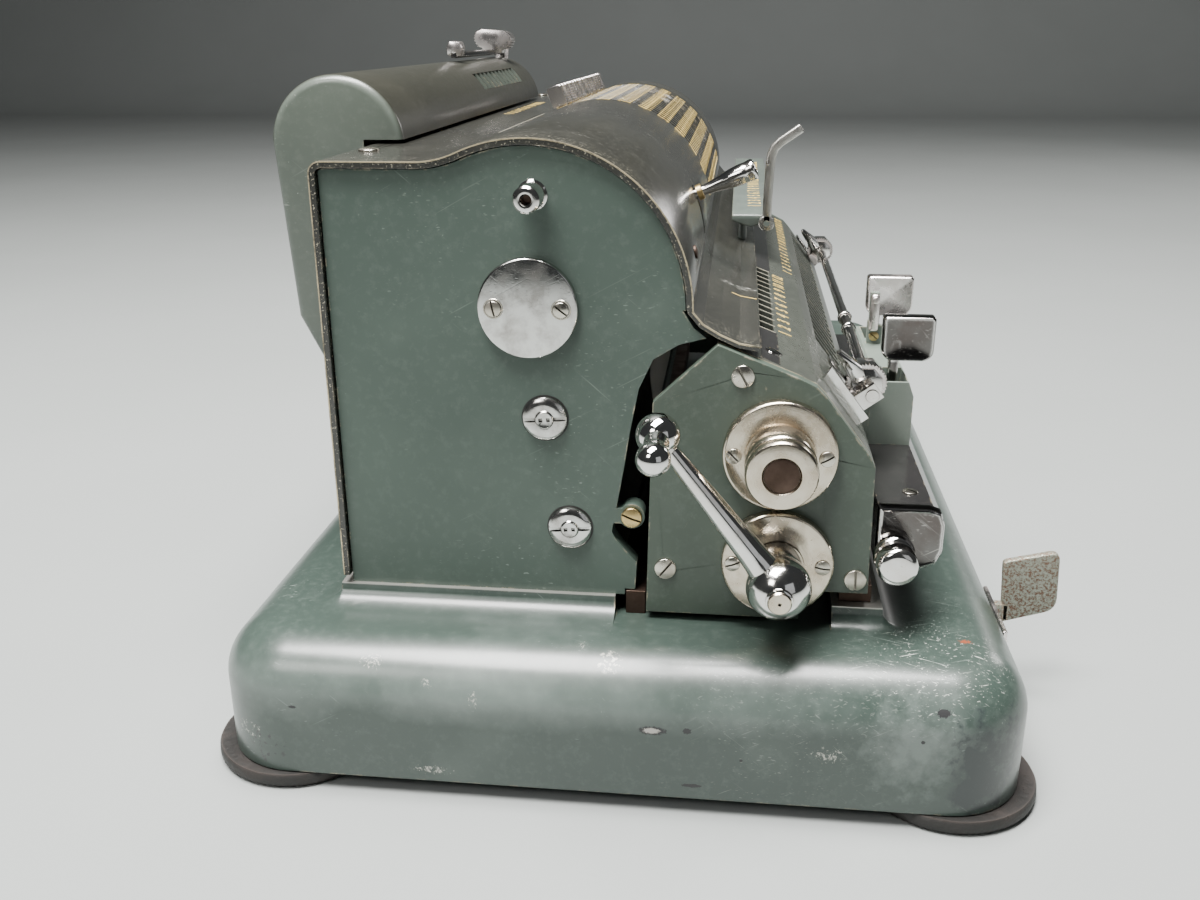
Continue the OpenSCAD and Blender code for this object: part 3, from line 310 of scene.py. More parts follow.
def housing_tones(s, tone, shine, height, bare):
    """Painted shade: the barrel, told from the flat ends by its normal, is darker and browner than they are.
    """
    flat_end = s.math("ABSOLUTE", s.axis(0, "Normal")).level(0.25, 0.75)
    # Painted shade on the barrel.
    shaded_barrel = s.blend(1.0, tone, (0.26, 0.22, 0.20), "MULTIPLY")
    return s.blend(flat_end, shaded_barrel, tone), shine, height, bare


def dark_chrome(name):
    """Chrome painted dark on its faces as a reflection of dark surroundings and painted bright along its
    rounded edges as a highlight.
    """
    s = Shader(name)
    cloud = s.noise(110.0, 4.0, 0.6)
    # Painted reflection: a dark face tone that stands in for dark surroundings.
    tone = s.blend(cloud.level(0.35, 0.7), (0.14, 0.135, 0.13), (0.10, 0.085, 0.08))
    # Painted highlight: near white along the rounded edges.
    tone = s.blend(s.edge(0.0011), tone, (0.80, 0.78, 0.76))
    marks = s.scratches(1200.0, 0.68, 0.76)
    tone = s.blend(marks * 0.4, tone, (0.6, 0.58, 0.55))
    s.bump(s.noise(900.0, 3.0) - marks, 0.1, 0.0001)
    return s.finish(tone, s.mix(cloud, 0.06, 0.18), 1.0)


def worn_line(name, colour, dark, low=0.34, high=0.5):
    """A painted edge rubbed through to pale metal along most of its length."""
    s = Shader(name)
    rub = s.noise(150.0, 5.0, 0.75).level(low, high)
    s.bump(s.noise(900.0, 3.0), 0.2, 0.0001)
    return s.finish(s.blend(rub, dark, colour), s.mix(rub, 0.4, 0.3), rub * 0.7)


def metal(name, colour, tarnish, rough=0.2, amount=0.5, spread=0.2, clouds=140.0, centre=None):
    """Plated or bare metal: tarnish, pits, painted shade in the hollows and, round a centre, turned rings."""
    s = Shader(name)
    cloud = s.noise(clouds, 5.0, 0.62)
    tone = s.blend(cloud.level(0.42, 0.72) * amount, colour, tarnish)
    pit = s.noise(1500.0, 2.0, 0.5).level(0.68, 0.75) * 0.3
    tone = s.blend(pit, tone, shade(tarnish, 0.35))
    tone = s.blend(s.edge(0.0004) * 0.25, tone, tarnish)
    # Painted shade: the tone goes near black where ambient occlusion finds a hollow.
    hollow = s.node("AmbientOcclusion", "AO", {"Distance": 0.0008}, samples=6, only_local=True)
    hollow_shade = (1.0 - hollow.level(0.45, 0.85)) * 0.92
    tone = s.blend(hollow_shade, tone, (0.022, 0.018, 0.014))
    height = s.noise(900.0, 4.0, 0.65) * 0.15
    if centre:
        off_y, off_z = (s.axis(k) - (centre[k - 1] + SHIFT[k]) * MM for k in (1, 2))
        away = s.math("SQRT", off_y * off_y + off_z * off_z)
        inputs = {"Scale": 4200.0, "Detail": 3.0, "W": away + s.axis(0) * 0.8}
        ring = s.node("TexNoise", "Fac", inputs, noise_dimensions="1D")
        height += ring * 0.4
        tone = s.blend(ring.level(0.5, 0.8) * 0.3, tone, tarnish)
    s.bump(height - s.scratches(1200.0, 0.66, 0.76) * 0.25 - pit * 0.5, 0.18, 0.0001)
    shine = s.mix(cloud.level(0.4, 0.7), rough, rough + spread) + pit * 0.3
    return s.finish(tone, shine, 1.0)


def rubber(name, colour, brown):
    """Aged rubber: dull, cracked and rubbed brown at the rim."""
    s = Shader(name)
    cloud = s.noise(60.0, 5.0, 0.65)
    cells = {"Vector": s.mapped(s.where, Scale=(1.0, 1.0, 0.5)), "Scale": 420.0}
    crack = s.node("TexVoronoi", "Distance", cells).level(0.02, 0.1)
    tone = s.blend(cloud.level(0.4, 0.66), colour, brown)
    tone = s.blend(s.edge(0.001) * 0.5, tone, shade(brown, 1.8))
    s.bump(crack * 0.8 + s.noise(700.0, 4.0), 0.5, 0.0004)
    return s.finish(s.blend(crack, shade(colour, 0.4), tone), s.mix(cloud, 0.5, 0.72))


def paint(name, colour, worn):
    """Thin gold or white paint of the digits, rubbed away in places."""
    s = Shader(name)
    rub = s.noise(700.0, 4.0, 0.7).level(0.5, 0.72)
    s.bump(s.noise(1500.0, 2.0), 0.15, 0.0001)
    return s.finish(s.blend(rub * 0.35, colour, worn), s.mix(rub, 0.35, 0.6), 0.25)


def rusty(name):
    """Dull green-grey plate freckled all over with rust."""
    s = Shader(name)
    cloud = s.noise(110.0, 5.0, 0.65)
    rust = s.noise(1300.0, 6.0, 0.8).level(0.47, 0.56) * cloud.level(0.2, 0.42)
    tone = s.blend(rust, (0.27, 0.29, 0.24), (0.12, 0.06, 0.035))
    tone = s.blend(s.edge(0.0006) * 0.6, tone, (0.42, 0.33, 0.24))
    s.bump(s.noise(900.0, 4.0) - rust, 0.4, 0.0002)
    return s.finish(tone, s.mix(rust, 0.36, 0.7), s.mix(rust, 0.6, 0.1))


NICKEL = ((0.64, 0.58, 0.48), (0.34, 0.25, 0.16))
PALE_GREEN = (0.14, 0.172, 0.148)

M = {
    "base": enamel("base_enamel", (0.038, 0.055, 0.046), (0.027, 0.041, 0.034), (0.12, 0.15, 0.13), 0.33,
                   marks=0.4, specks=0.5, clouds=9.0, coat=0.4, wear_and_painted_light=base_marks),
    "plate": enamel("plate_enamel", (0.055, 0.080, 0.065), (0.041, 0.062, 0.050), PALE_GREEN, 0.48,
                    marks=0.25, specks=0.3, coat=0.0, dust=0.15),
    "carriage_plate": enamel("carriage_plate_enamel", (0.049, 0.067, 0.051), (0.037, 0.052, 0.040),
                             PALE_GREEN, 0.44, marks=0.15, specks=0.2, edge_wear=0.35, coat=0.0),
    "cover": enamel("cover_enamel", (0.023, 0.023, 0.019), (0.016, 0.016, 0.014), (0.08, 0.078, 0.065), 0.22,
                    edge_r=0.0004, marks=0.25, specks=0.4, coat=0.35, wear_and_painted_light=cover_marks),
    "housing": enamel("housing_enamel", (0.088, 0.104, 0.086), (0.066, 0.08, 0.067), (0.17, 0.19, 0.165),
                      0.32, specks=0.5, coat=0.2, wear_and_painted_light=housing_tones),
    "carriage": enamel("carriage_enamel", (0.048, 0.052, 0.043), (0.034, 0.038, 0.032), (0.12, 0.125, 0.11),
                       0.27, edge_r=0.0003, edge_wear=0.25, marks=0.25, specks=0.4, coat=0.2),
    "block": enamel("block_enamel", (0.075, 0.090, 0.078), (0.055, 0.068, 0.06), (0.16, 0.18, 0.16), 0.36,
                    edge_wear=0.35),
    "keybox": enamel("key_housing_enamel", (0.14, 0.165, 0.14), (0.10, 0.125, 0.105), (0.24, 0.26, 0.23),
                     0.42, edge_wear=0.4),
    "black": enamel("bar_black", (0.016, 0.015, 0.015), (0.010, 0.010, 0.010), (0.05, 0.048, 0.046), 0.14,
                    marks=0.15, coat=0.3, dust=0.05),
    "wheel": enamel("wheel_black", (0.014, 0.014, 0.014), (0.009, 0.009, 0.009), (0.05, 0.05, 0.05), 0.35,
                    edge_wear=0.2, marks=0.1),
    # Near-black enamel for the painted shadow rings round the spanner caps.
    "painted_gap_shadow": enamel("painted_gap_shadow", (0.012, 0.011, 0.010), (0.006, 0.006, 0.006), (0.03, 0.028, 0.026), 0.45,
                        edge_wear=0.0, marks=0.0, specks=0.0, coat=0.0),
    "grip": enamel("grip_plastic", (0.014, 0.013, 0.013), (0.009, 0.009, 0.009), (0.04, 0.038, 0.036), 0.22,
                   edge_wear=0.0, marks=0.1, coat=0.5),
    "chrome": metal("chrome", (0.78, 0.77, 0.75), (0.50, 0.42, 0.34), 0.05, 0.35, spread=0.14),
    "cap": metal("cap_chrome", (0.66, 0.66, 0.64), (0.32, 0.29, 0.27), 0.08, 0.85, clouds=170.0),
    "tips": metal("tip_chrome", (0.80, 0.76, 0.74), (0.50, 0.40, 0.36), 0.2, 0.35),
    "steel": metal("steel", (0.40, 0.39, 0.37), (0.20, 0.17, 0.14), 0.34, 0.6),
    "lever": metal("lever_steel", (0.50, 0.49, 0.46), (0.26, 0.24, 0.21), 0.26),
    "brown": metal("brown_steel", (0.09, 0.062, 0.05), (0.045, 0.03, 0.022), 0.45, 0.7),
    "nickel": metal("yellowed_nickel", *NICKEL, 0.16, 0.6, centre=RESULT),
    "nickel_low": metal("yellowed_nickel_low", *NICKEL, 0.16, 0.6, centre=CLEAR),
    "screw": metal("screw_nickel", (0.60, 0.57, 0.50), (0.36, 0.30, 0.23)),
    "brass": metal("brass", (0.62, 0.47, 0.22), (0.30, 0.20, 0.09), 0.22),
    "rubber": rubber("foot_rubber", (0.010, 0.009, 0.008), (0.028, 0.021, 0.018)),
    "gold": paint("gold_paint", (0.64, 0.47, 0.15), (0.32, 0.22, 0.08)),
    "white": paint("white_paint", (0.72, 0.70, 0.62), (0.35, 0.33, 0.28)),
    "pale_line": worn_line("pale_line", (0.62, 0.58, 0.46), (0.10, 0.10, 0.08)),
    "rim": worn_line("rim_line", (0.58, 0.49, 0.32), (0.07, 0.065, 0.045), 0.36, 0.58),
    "rusty": rusty("rusty_plate"),
    "dark_chrome": dark_chrome("dark_chrome"),
}


def add_object(name, data):
    """Puts a new object into the scene."""
    obj = bpy.data.objects.new(name, data)
    bpy.context.scene.collection.objects.link(obj)
    return obj


def mesh_of(obj):
    """An object's shape as a new mesh, with its modifiers applied."""
    depsgraph = bpy.context.evaluated_depsgraph_get()
    return bpy.data.meshes.new_from_object(obj.evaluated_get(depsgraph))


def polar(centre, radius, angle):
    """A point at a distance from a centre, at an angle in degrees."""
    a = math.radians(angle)
    return (centre[0] + radius * math.cos(a), centre[1] + radius * math.sin(a))


def arc(centre, radius, start, end, steps):
    """Points on an arc between two angles."""
    return [polar(centre, radius, start + (end - start) * k / steps) for k in range(steps + 1)]


def beside(path, *distances):
    """A path moved to its left by each distance."""
    rows = [[] for _ in distances]
    for k, point in enumerate(path):
        ahead = Vector(path[min(k + 1, len(path) - 1)]) - Vector(path[max(k - 1, 0)])
        ahead.normalize()
        for row, distance in zip(rows, distances):
            row.append((point[0] - ahead.y * distance, point[1] + ahead.x * distance))
    return rows


def slope(s, n):
    """A point s mm down the carriage's sloping face and n mm out of it, as (y, z)."""
    p = SLOPE_TOP + s * SLOPE_DIR - n * Vector((-SLOPE_DIR.y, SLOPE_DIR.x))
    return (p.x, p.y)


def on_x(x, at, angle=None):
    """Local X stays along the machine's X, moved to x and to a point in (y, z), turned by degrees."""
    matrix = Matrix.Translation((x, *at))
    return matrix if angle is None else matrix @ Matrix.Rotation(math.radians(angle), 4, "X")


def radial(x, at, angle):
    """Local Z points out of an axis along X, at an angle above the front."""
    return on_x(x, at, 90 - angle)


X_TO_Z = Matrix.Rotation(-math.pi / 2, 4, "Y")
X_TO_MINUS_Z = Matrix.Rotation(math.pi / 2, 4, "Y")
X_TO_MINUS_X = Matrix.Rotation(math.pi, 4, "Z")


def upright(x, y, z=0.0):
    """Local X points up."""
    return Matrix.Translation((x, y, z)) @ X_TO_Z


def smooth_profile(points, steps):
    """Catmull-Rom points through a profile, for turned shapes without flats."""
    made = []
    last = len(points) - 1
    for i in range(last):
        corners = [points[min(max(i + k, 0), last)] for k in (-1, 0, 1, 2)]
        for k in range(steps):
            t = k / steps
            along, radius = (
                0.5 * (2 * b + (c - a) * t + (2 * a - 5 * b + 4 * c - d) * t * t
                       + (3 * b - a - 3 * c + d) * t ** 3)
                for a, b, c, d in zip(*corners)
            )
            made.append((along, max(0.0, radius)))
    return made + [points[-1]]


def disc_profile(length, radius, edge):
    """A short cylinder along +X with both rims rounded."""
    near = arc((edge, radius - edge), edge, 180, 90, 4)
    return [(0.0, 0.0)] + near + arc((length - edge, radius - edge), edge, 90, 0, 4) + [(length, 0.0)]


def mirrored(half):
    """Half an outline and its mirror image across the first axis."""
    other = [(a, -b) for a, b in half]
    return other[:1] + half + other[:0:-1]


def scaled(outline, middle, share):
    """An outline drawn in towards its middle."""
    return [middle + (Vector(p) - middle) * share for p in outline]


def glyph(text, size, weight):
    """The outline of plain digits as a thin solid, centred, with x right and y up."""
    curve = bpy.data.curves.new("glyph", "FONT")
    curve.body = text
    curve.size = size
    curve.offset = weight
    curve.extrude = 0.03
    curve.resolution_u = 2
    obj = add_object("glyph", curve)
    mesh = mesh_of(obj)
    verts = [tuple(v.co) for v in mesh.vertices]
    faces = [tuple(p.vertices) for p in mesh.polygons]
    bpy.data.objects.remove(obj)
    bpy.data.curves.remove(curve)
    bpy.data.meshes.remove(mesh)
    middle_x, middle_y = ((min(row) + max(row)) / 2 for row in list(zip(*verts))[:2])
    return [(x - middle_x, y - middle_y, z) for x, y, z in verts], faces


GLYPHS = {}
MERGE = 0.0005
SAME = Matrix()


class Part:
    """A mesh under construction in the drawing frame."""

    def __init__(self):
        self.bm = bmesh.new()

    def loop(self, points):
        """Adds vertices."""
        return [self.bm.verts.new(p) for p in points]

    def face(self, corners):
        """Adds a face, unless the same one is there already."""
        if not self.bm.faces.get(corners):
            self.bm.faces.new(corners)

    def skin(self, loops, closed=True):
        """Joins neighbouring loops with faces."""
        for one, two in zip(loops, loops[1:]):
            count = len(one)
            for k in range(count if closed else count - 1):
                j = (k + 1) % count
                corners = list(dict.fromkeys((one[k], two[k], two[j], one[j])))
                if len(corners) > 2:
                    self.bm.faces.new(corners)
        return self

    def solid(self, rings):
        """Adds a solid with these rings of points as cross sections."""
        loops = [self.loop(ring) for ring in rings]
        self.bm.faces.new(loops[0])
        self.bm.faces.new(loops[-1])
        return self.skin(loops)

    def join(self, other, matrix=SAME):
        """Moves all of another part into this one."""
        bmesh.ops.transform(other.bm, matrix=matrix, verts=other.bm.verts)
        made = {v: self.bm.verts.new(v.co) for v in other.bm.verts}
        for face in other.bm.faces:
            self.face([made[v] for v in face.verts])
        other.bm.free()
        return self

    def round_edges(self, width, angle=30.0, segments=2):
        """Rounds every edge sharper than the angle."""
        limit = math.radians(angle)
        bmesh.ops.recalc_face_normals(self.bm, faces=self.bm.faces)
        edges = [e for e in self.bm.edges if len(e.link_faces) == 2 and e.calc_face_angle(0.0) > limit]
        bmesh.ops.bevel(self.bm, geom=edges, offset=width, segments=segments, profile=0.5, affect="EDGES",
                        clamp_overlap=True)

    def prism(self, outline, x0, x1, matrix=SAME, width=0.0, segments=2):
        """Adds an outline in (y, z), extruded from x0 to x1, with rounded edges."""
        part = Part()
        near, far = [part.loop((x, *p) for p in outline) for x in (x0, x1)]
        part.bm.faces.new(near)
        part.bm.faces.new(reversed(far))
        part.skin([near, far])
        if width:
            part.round_edges(width, segments=segments)
        return self.join(part, matrix)

    def block(self, low, high, width=0.3, matrix=SAME, segments=2):
        """Adds a block between two corners, with rounded edges."""
        (x0, y0, z0), (x1, y1, z1) = low, high
        return self.prism([(y0, z0), (y1, z0), (y1, z1), (y0, z1)], x0, x1, matrix, width, segments)

    def lathe(self, profile, matrix=SAME, steps=72):
        """Adds (along, radius) pairs turned round the local X axis; it closes where a radius is 0."""
        part = Part()
        angles = [2 * math.pi * k / steps for k in range(steps)]
        loops = []
        for along, radius in profile:
            if radius < 1e-6:
                loops.append(part.loop([(along, 0.0, 0.0)]) * steps)
            else:
                loops.append(part.loop((along, radius * math.cos(a), radius * math.sin(a)) for a in angles))
        return self.join(part.skin(loops), matrix)

    def strip(self, path, x0, x1, width, lift=0.02):
        """Adds a thin band on the near end of a sheet, along a (y, z) path."""
        near_out, near_in, far_out, far_in = [
            self.loop((x, *p) for p in line) for x in (x0, x1) for line in beside(path, lift, -width)
        ]
        self.skin([near_out, near_in, far_in, far_out, near_out], closed=False)
        for k in (0, -1):
            self.bm.faces.new((near_out[k], far_out[k], far_in[k], near_in[k]))
        return self

    def gear(self, at, other, turn=0.0, teeth=20):
        """Adds a gear on one axis that meets its twin on the other."""
        away = Vector(other) - Vector(at)
        turn += math.degrees(math.atan2(away.y, away.x))
        tooth = ((-0.27, -1.2), (-0.13, 0.9), (0.13, 0.9), (0.27, -1.2))
        outline = []
        for i in range(teeth):
            outline += [polar(at, away.length / 2 + r, turn + (i + k) * 360 / teeth) for k, r in tooth]
        return self.prism(outline, 3.0, 8.0)

    def object(self, name, sharp=180.0):
        """Turns the part into an object, smooth except at edges sharper than an angle."""
        bmesh.ops.recalc_face_normals(self.bm, faces=self.bm.faces)
        for face in self.bm.faces:
            face.smooth = True
        for edge in self.bm.edges:
            edge.smooth = edge.calc_face_angle(0.0) < math.radians(sharp)
        mesh = bpy.data.meshes.new(name)
        self.bm.to_mesh(mesh)
        self.bm.free()
        return add_object(name, mesh)

    def cut(self, boxes):
        """Takes boxes, given as (low, high, matrix), out of the part with an exact boolean."""
        bmesh.ops.remove_doubles(self.bm, verts=self.bm.verts, dist=MERGE)
        tool = Part()
        for low, high, matrix in boxes:
            tool.block(low, high, 0.0, matrix)
        objects = [self.object("cut_body"), tool.object("cut_tool")]
        modifier = objects[0].modifiers.new("cut", "BOOLEAN")
        modifier.object = objects[1]
        modifier.solver = "EXACT"
        meshes = [mesh_of(objects[0])] + [obj.data for obj in objects]
        self.bm = bmesh.new()
        self.bm.from_mesh(meshes[0])
        for obj in objects:
            bpy.data.objects.remove(obj)
        for mesh in meshes:
            bpy.data.meshes.remove(mesh)
        return self

    def screw(self, matrix, radius, height, slot, depth, dome, turn):
        """Adds a slotted cheese head along local -X, its seat at local x = 0."""
        rim = min(0.35, height * 0.4)
        profile = [(0.0, 0.0), (0.0, radius - 0.05), (-height + rim, radius)]
        profile += arc((-height + rim, radius - rim), rim, 90, 180, 4)[1:]
        for k in range(1, 6):
            left = 1 - k / 5
            profile.append((-height - dome * (1 - left ** 2), (radius - rim) * left))
        top = -height - dome
        low = (top - 1, -radius - 1, -slot / 2)
        high = (top + dome + depth, radius + 1, slot / 2)
        head = Part().lathe(profile, steps=40).cut([(low, high, on_x(0, (0, 0), turn))])
        return self.join(head, matrix)

    def write(self, text, size, spot, weight=0.0):
        """Adds a number; spot turns (right, up, out) in mm into a point in the drawing frame."""
        key = (text, size, weight)
        if key not in GLYPHS:
            GLYPHS[key] = glyph(*key)
        verts, faces = GLYPHS[key]
        made = self.loop(spot(*v) for v in verts)
        for face in faces:
            self.face([made[k] for k in face])

    def piece(self, name, material, body, slot, *replaced, sharp=32.0, merge=True):
        """Turns the part into a visible piece that rides on a body."""
        if merge:
            bmesh.ops.remove_doubles(self.bm, verts=self.bm.verts, dist=MERGE)
        bmesh.ops.transform(self.bm, matrix=TO_ROW, verts=self.bm.verts)
        obj = self.object(name, sharp)
        obj.data.materials.append(M[material])
        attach(obj, body)
        if replaced:
            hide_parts(*replaced)


# CAD nodes that stay visible: material and, where edges are rounded, width, segments and angle
DRESSED = (
    ("left_side_plate", "plate", 0.35),
    ("right_side_plate", "plate", 0.35),
    ("inner_frame_plate", "steel"),
    ("top_cover", "cover", 0.2, 2, 50),
    ("frame_tie_rods", "steel"),
    ("carriage_rails", "brown", 0.2),
    ("tab_slot_plate", "tips", 0.3),
    ("main_shaft", "steel"),
    ("pinwheel_drum", "steel"),
    ("crank_arm", "chrome", 0.4),
    ("transfer_shaft", "steel"),
    ("check_dial_wheels", "wheel", 0.2),
    ("carriage_left_plate", "carriage_plate", 0.2),
    ("carriage_right_plate", "carriage_plate", 0.2),
    ("carriage_cover", "carriage", 0.15, 2, 50),
    ("product_wheels", "wheel", 0.15),
    ("counter_wheels", "wheel", 0.1),
    ("pointer_rail", "chrome", 0.2),
    ("front_bar", "black", 0.6, 3),
    ("key_housing", "keybox", 0.5, 3),
)


def dress(node, material, width=0.0, segments=2, angle=35.0):
    """Gives a CAD node its material and, where asked, rounded edges."""
    obj = NODES[node]
    obj.data.materials.clear()
    obj.data.materials.append(M[material])
    if width:
        weld = obj.modifiers.new("weld", "WELD")
        weld.merge_threshold = 0.00001
        bevel = obj.modifiers.new("bevel", "BEVEL")
        bevel.width = width * MM
        bevel.segments = segments
        bevel.limit_method = "ANGLE"
        bevel.angle_limit = math.radians(angle)
        bevel.harden_normals = True


# Base: centres and first angles of the corners, and centres of the feet
CORNER_R = 20.0
CORNERS = ((314.2, 80.0, 0), (-9.2, 80.0, 90), (-9.2, -80.0, 180), (314.2, -80.0, 270))
FEET = [(x, y) for x in (-9.2, 314.2) for y in (-82.7, 82.7)]
# Raised seats: ranges of x and y, and flares at the left, right, rear and front; 0 is a machined face
SEATS = (
    ((-0.9, 305.9), (0.9, 72.2), (7.5, 7.5, 7.5, 0.0)),
    ((-0.9, 305.9), (-65.6, -53.4), (4.0, 4.0, 0.0, 7.0)),
)
SEAT_Z = 5.0
SEAT_LIP = 0.75


def base_outline(inset, xs, ys):
    """Points round the base at a distance inside its outline; straight sides follow xs and ys."""
    points = []
    for (cx, cy, start), side in zip(CORNERS, (xs[-2:0:-1], ys[-2:0:-1], xs[1:-1], ys[1:-1])):
        points += arc((cx, cy), CORNER_R - inset, start, start + 90, 20)
        x, y = points[-1]
        points += [(x, v) if start % 180 else (v, y) for v in side]
    return points


def seat_height(x, y):
    """Height of the raised seats: flat on top, flaring into the base's top in a hollow curve."""
    best = 0.0
    for (x0, x1), (y0, y1), flares in SEATS:
        away = 0.0
        for gap, flare in zip((x0 - x, x - x1, y - y1, y0 - y), flares):
            if gap > 0 and flare:
                away = math.hypot(away, gap / flare)
            elif gap > 0.25:
                away = 1.0
        height = SEAT_Z if away < 1.0 else 0.0
        if 0 < away < 1.0:
            height *= 1.0 - math.sqrt(1.0 - (1.0 - away) ** 2)
            height = min(height, SEAT_Z - SEAT_LIP) if away < 0.02 else height * (SEAT_Z - SEAT_LIP) / SEAT_Z
        best = max(best, height)
    return best


def spread(stops):
    """Coordinates from a list of (start, step), ending at the last start."""
    made = []
    for (start, step), (end, _) in zip(stops, stops[1:]):
        count = max(1, round((end - start) / step))
        made += [start + (end - start) * k / count for k in range(count)]
    return made + [stops[-1][0]]


def build_base():
    xs = spread([(-9.2, 0.6), (-1.2, 0.15), (-0.6, 2.0), (4.0, 8.0), (301.0, 2.0), (305.6, 0.15),
                 (306.2, 0.8), (314.2, 1)])
    ys = spread([(-80.0, 2.0), (-74.0, 0.6), (-65.9, 0.15), (-65.3, 2.0), (-53.7, 0.15), (-53.1, 4.0),
                 (0.6, 0.15), (1.2, 6.0), (71.9, 0.15), (72.5, 0.6), (80.0, 1)])
    edge_r = 14.0
    wall = 4.0
    outside = [(wall, -BASE_H), (0.4, -BASE_H), (0.0, -BASE_H + 0.4)]
    outside += [(0.0, -BASE_H + (BASE_H - edge_r) * k / 5) for k in range(1, 5)]
    outside += arc((edge_r, -edge_r), edge_r, 180, 90, 18) + [(16.0, 0.0), (18.0, 0.0), (CORNER_R, 0.0)]
    inside = [(wall, -BASE_H)] + arc((edge_r, -edge_r), edge_r - wall, 180, 90, 8)
    part = Part()
    part.skin([part.loop((*p, z) for p in base_outline(inset, xs, ys)) for inset, z in outside])
    part.skin([part.loop((x, y, seat_height(x, y)) for x in xs) for y in ys], closed=False)
    loops = [part.loop((*p, z) for p in base_outline(inset, xs, ys)) for inset, z in inside]
    part.skin([loop[::-1] for loop in loops])
    part.bm.faces.new(loops[-1])
    part.cut([((22.2, -101.0, -17.8), (41.8, -95.0, -12.2), SAME)])
    boss = [(-BASE_H, 6.3), (-BASE_H, 10.0), (-4.5, 10.0), (-4.5, 6.3), (-BASE_H, 6.3)]
    for x, y in FEET:
        part.lathe(boss, upright(x, y), 48)
    part.piece("base_shell", "base", "frame", "base_enamel", "base_casting", sharp=40)


def build_feet():
    """Rubber feet with a finely toothed lower rim."""
    teeth = 90
    profile = [(0.0, 0.0), (0.0, 20.4), (0.35, 21.3), (1.0, 21.85), (2.0, 22.0), (3.3, 21.9), (4.0, 21.5),
               (4.0, 6.0), (11.0, 6.0), (11.0, 0.0)]
    for index, (x, y) in enumerate(FEET):
        part = Part().lathe(profile, upright(x, y, -BASE_H - 4.0), 2 * teeth)
        for v in part.bm.verts:
            off_x, off_y = v.co.x - x, v.co.y - y
            if math.hypot(off_x, off_y) > 21.0 and v.co.z < -BASE_H - 2.4:
                keep = 1.0 - 0.012 * (0.5 + 0.5 * math.cos(math.atan2(off_y, off_x) * teeth))
                v.co.x = x + off_x * keep
                v.co.y = y + off_y * keep
        part.piece("foot_%d" % (index + 1), "rubber", "frame", "foot_rubber", "rubber_feet")


def cover_path():
    """The cover's outline from the foot of its back over the deck and the hump to the front."""
    meet = math.degrees(math.atan2(DRUM[1] - DIP[1], DRUM[0] - DIP[0]))
    points = [(71.3, 7.5), (71.3, 60.0)] + arc((68.3, 108.8), 3.0, 0, 90, 6) + arc(DIP, DIP_R, -90, meet, 8)
    return points + arc(DRUM, HUMP_R, meet + 180, 180, 40)[1:]


def build_rims():
    """Pale lines where the sheets' near edges are rubbed through."""
    part = Part().strip(cover_path()[::-1], -1.53, -1.1, 0.28).strip(APRON[::-1], -1.53, -1.1, 0.34)
    part.piece("cover_rim", "rim", "frame", "cover_enamel")
    path = [*FACET, (-48.6, 59.6), (-59.6, 45.2), (-60.9, 42.6), (-61.4, 12.0)]
    Part().strip(path[::-1], -0.03, 0.35, 0.35).piece("carriage_rim", "rim", "carriage", "carriage_enamel")


def housing_outline(inset, wall=0.0):
    """Section of the check dial's housing; the inset moves only its free edges."""
    low = 51.0 + inset + wall
    back = 71.35 + wall
    r = 18.0 - inset - wall
    end = 180 - math.degrees(math.asin((1.66 + wall) / r))
    points = [(back, low), (87.0 - 0.4 * inset - wall * 0.6, low), (93.9 - inset - wall, 65.0 + 0.3 * inset),
              (96.7 - inset - wall, HOUSING[1])]
    return points + arc(HOUSING, r, 0, end, 40)[1:] + [(back, 112.86 + wall)]


def build_housing():
    round_r = 2.4
    near = arc((HOUSING_NEAR + round_r, round_r), round_r, 180, 270, 6)
    far = [(HOUSING_NEAR + HOUSING_FAR - x, inset) for x, inset in reversed(near)]
    part = Part().solid([[(x, *p) for p in housing_outline(inset)] for x, inset in near + far])
    inner = housing_outline(0.0, 1.6)
    part.solid([[(x, *p) for p in inner] for x in (HOUSING_NEAR + 2.0, HOUSING_FAR - 2.0)])
    windows = [WINDOWS_X + PITCH * i for i in range(11)]
    turned = on_x(0, HOUSING, 139)
    part.cut([((x + 0.5, 14.0, -3.4), (x + PITCH - 0.5, 21.0, 3.4), turned) for x in windows])
    part.lathe([(255.0, 0.0), (255.0, 2.0), (260.2, 2.0), (260.5, 1.7), (260.5, 0.0)], on_x(0, HOUSING), 32)
    part.piece("housing_shell", "housing", "frame", "housing_enamel", "check_dial_housing", sharp=35)


def build_scale_block():
    """The block with column numbers; its near end is drawn down."""
    outline = [(-24.8, 82.0), (-38.2, 82.0), (-38.2, 79.2), (-31.4, 76.5), (-24.8, 78.6)]
    rings = [[(134.0, y, z - (1.3 if z > 81 else 0.0)) for y, z in outline]]
    rings += [[(x, *p) for p in outline] for x in (140.0, 305.0)]
    part = Part().solid(rings)
    part.round_edges(0.5, 15.0, 3)
    for x in (142.0, 295.0):
        part.lathe([(70.6, 0.0), (70.6, 1.5), (79.0, 1.5), (79.0, 0.0)], upright(x, -28.5), 32)
    part.lathe([(130.3, 0.0), (130.3, 1.0), (136.0, 1.0), (136.0, 0.0)], on_x(0, BENT_FOOT), 24)
    part.piece("scale_block_body", "block", "frame", "block_enamel", "scale_block")


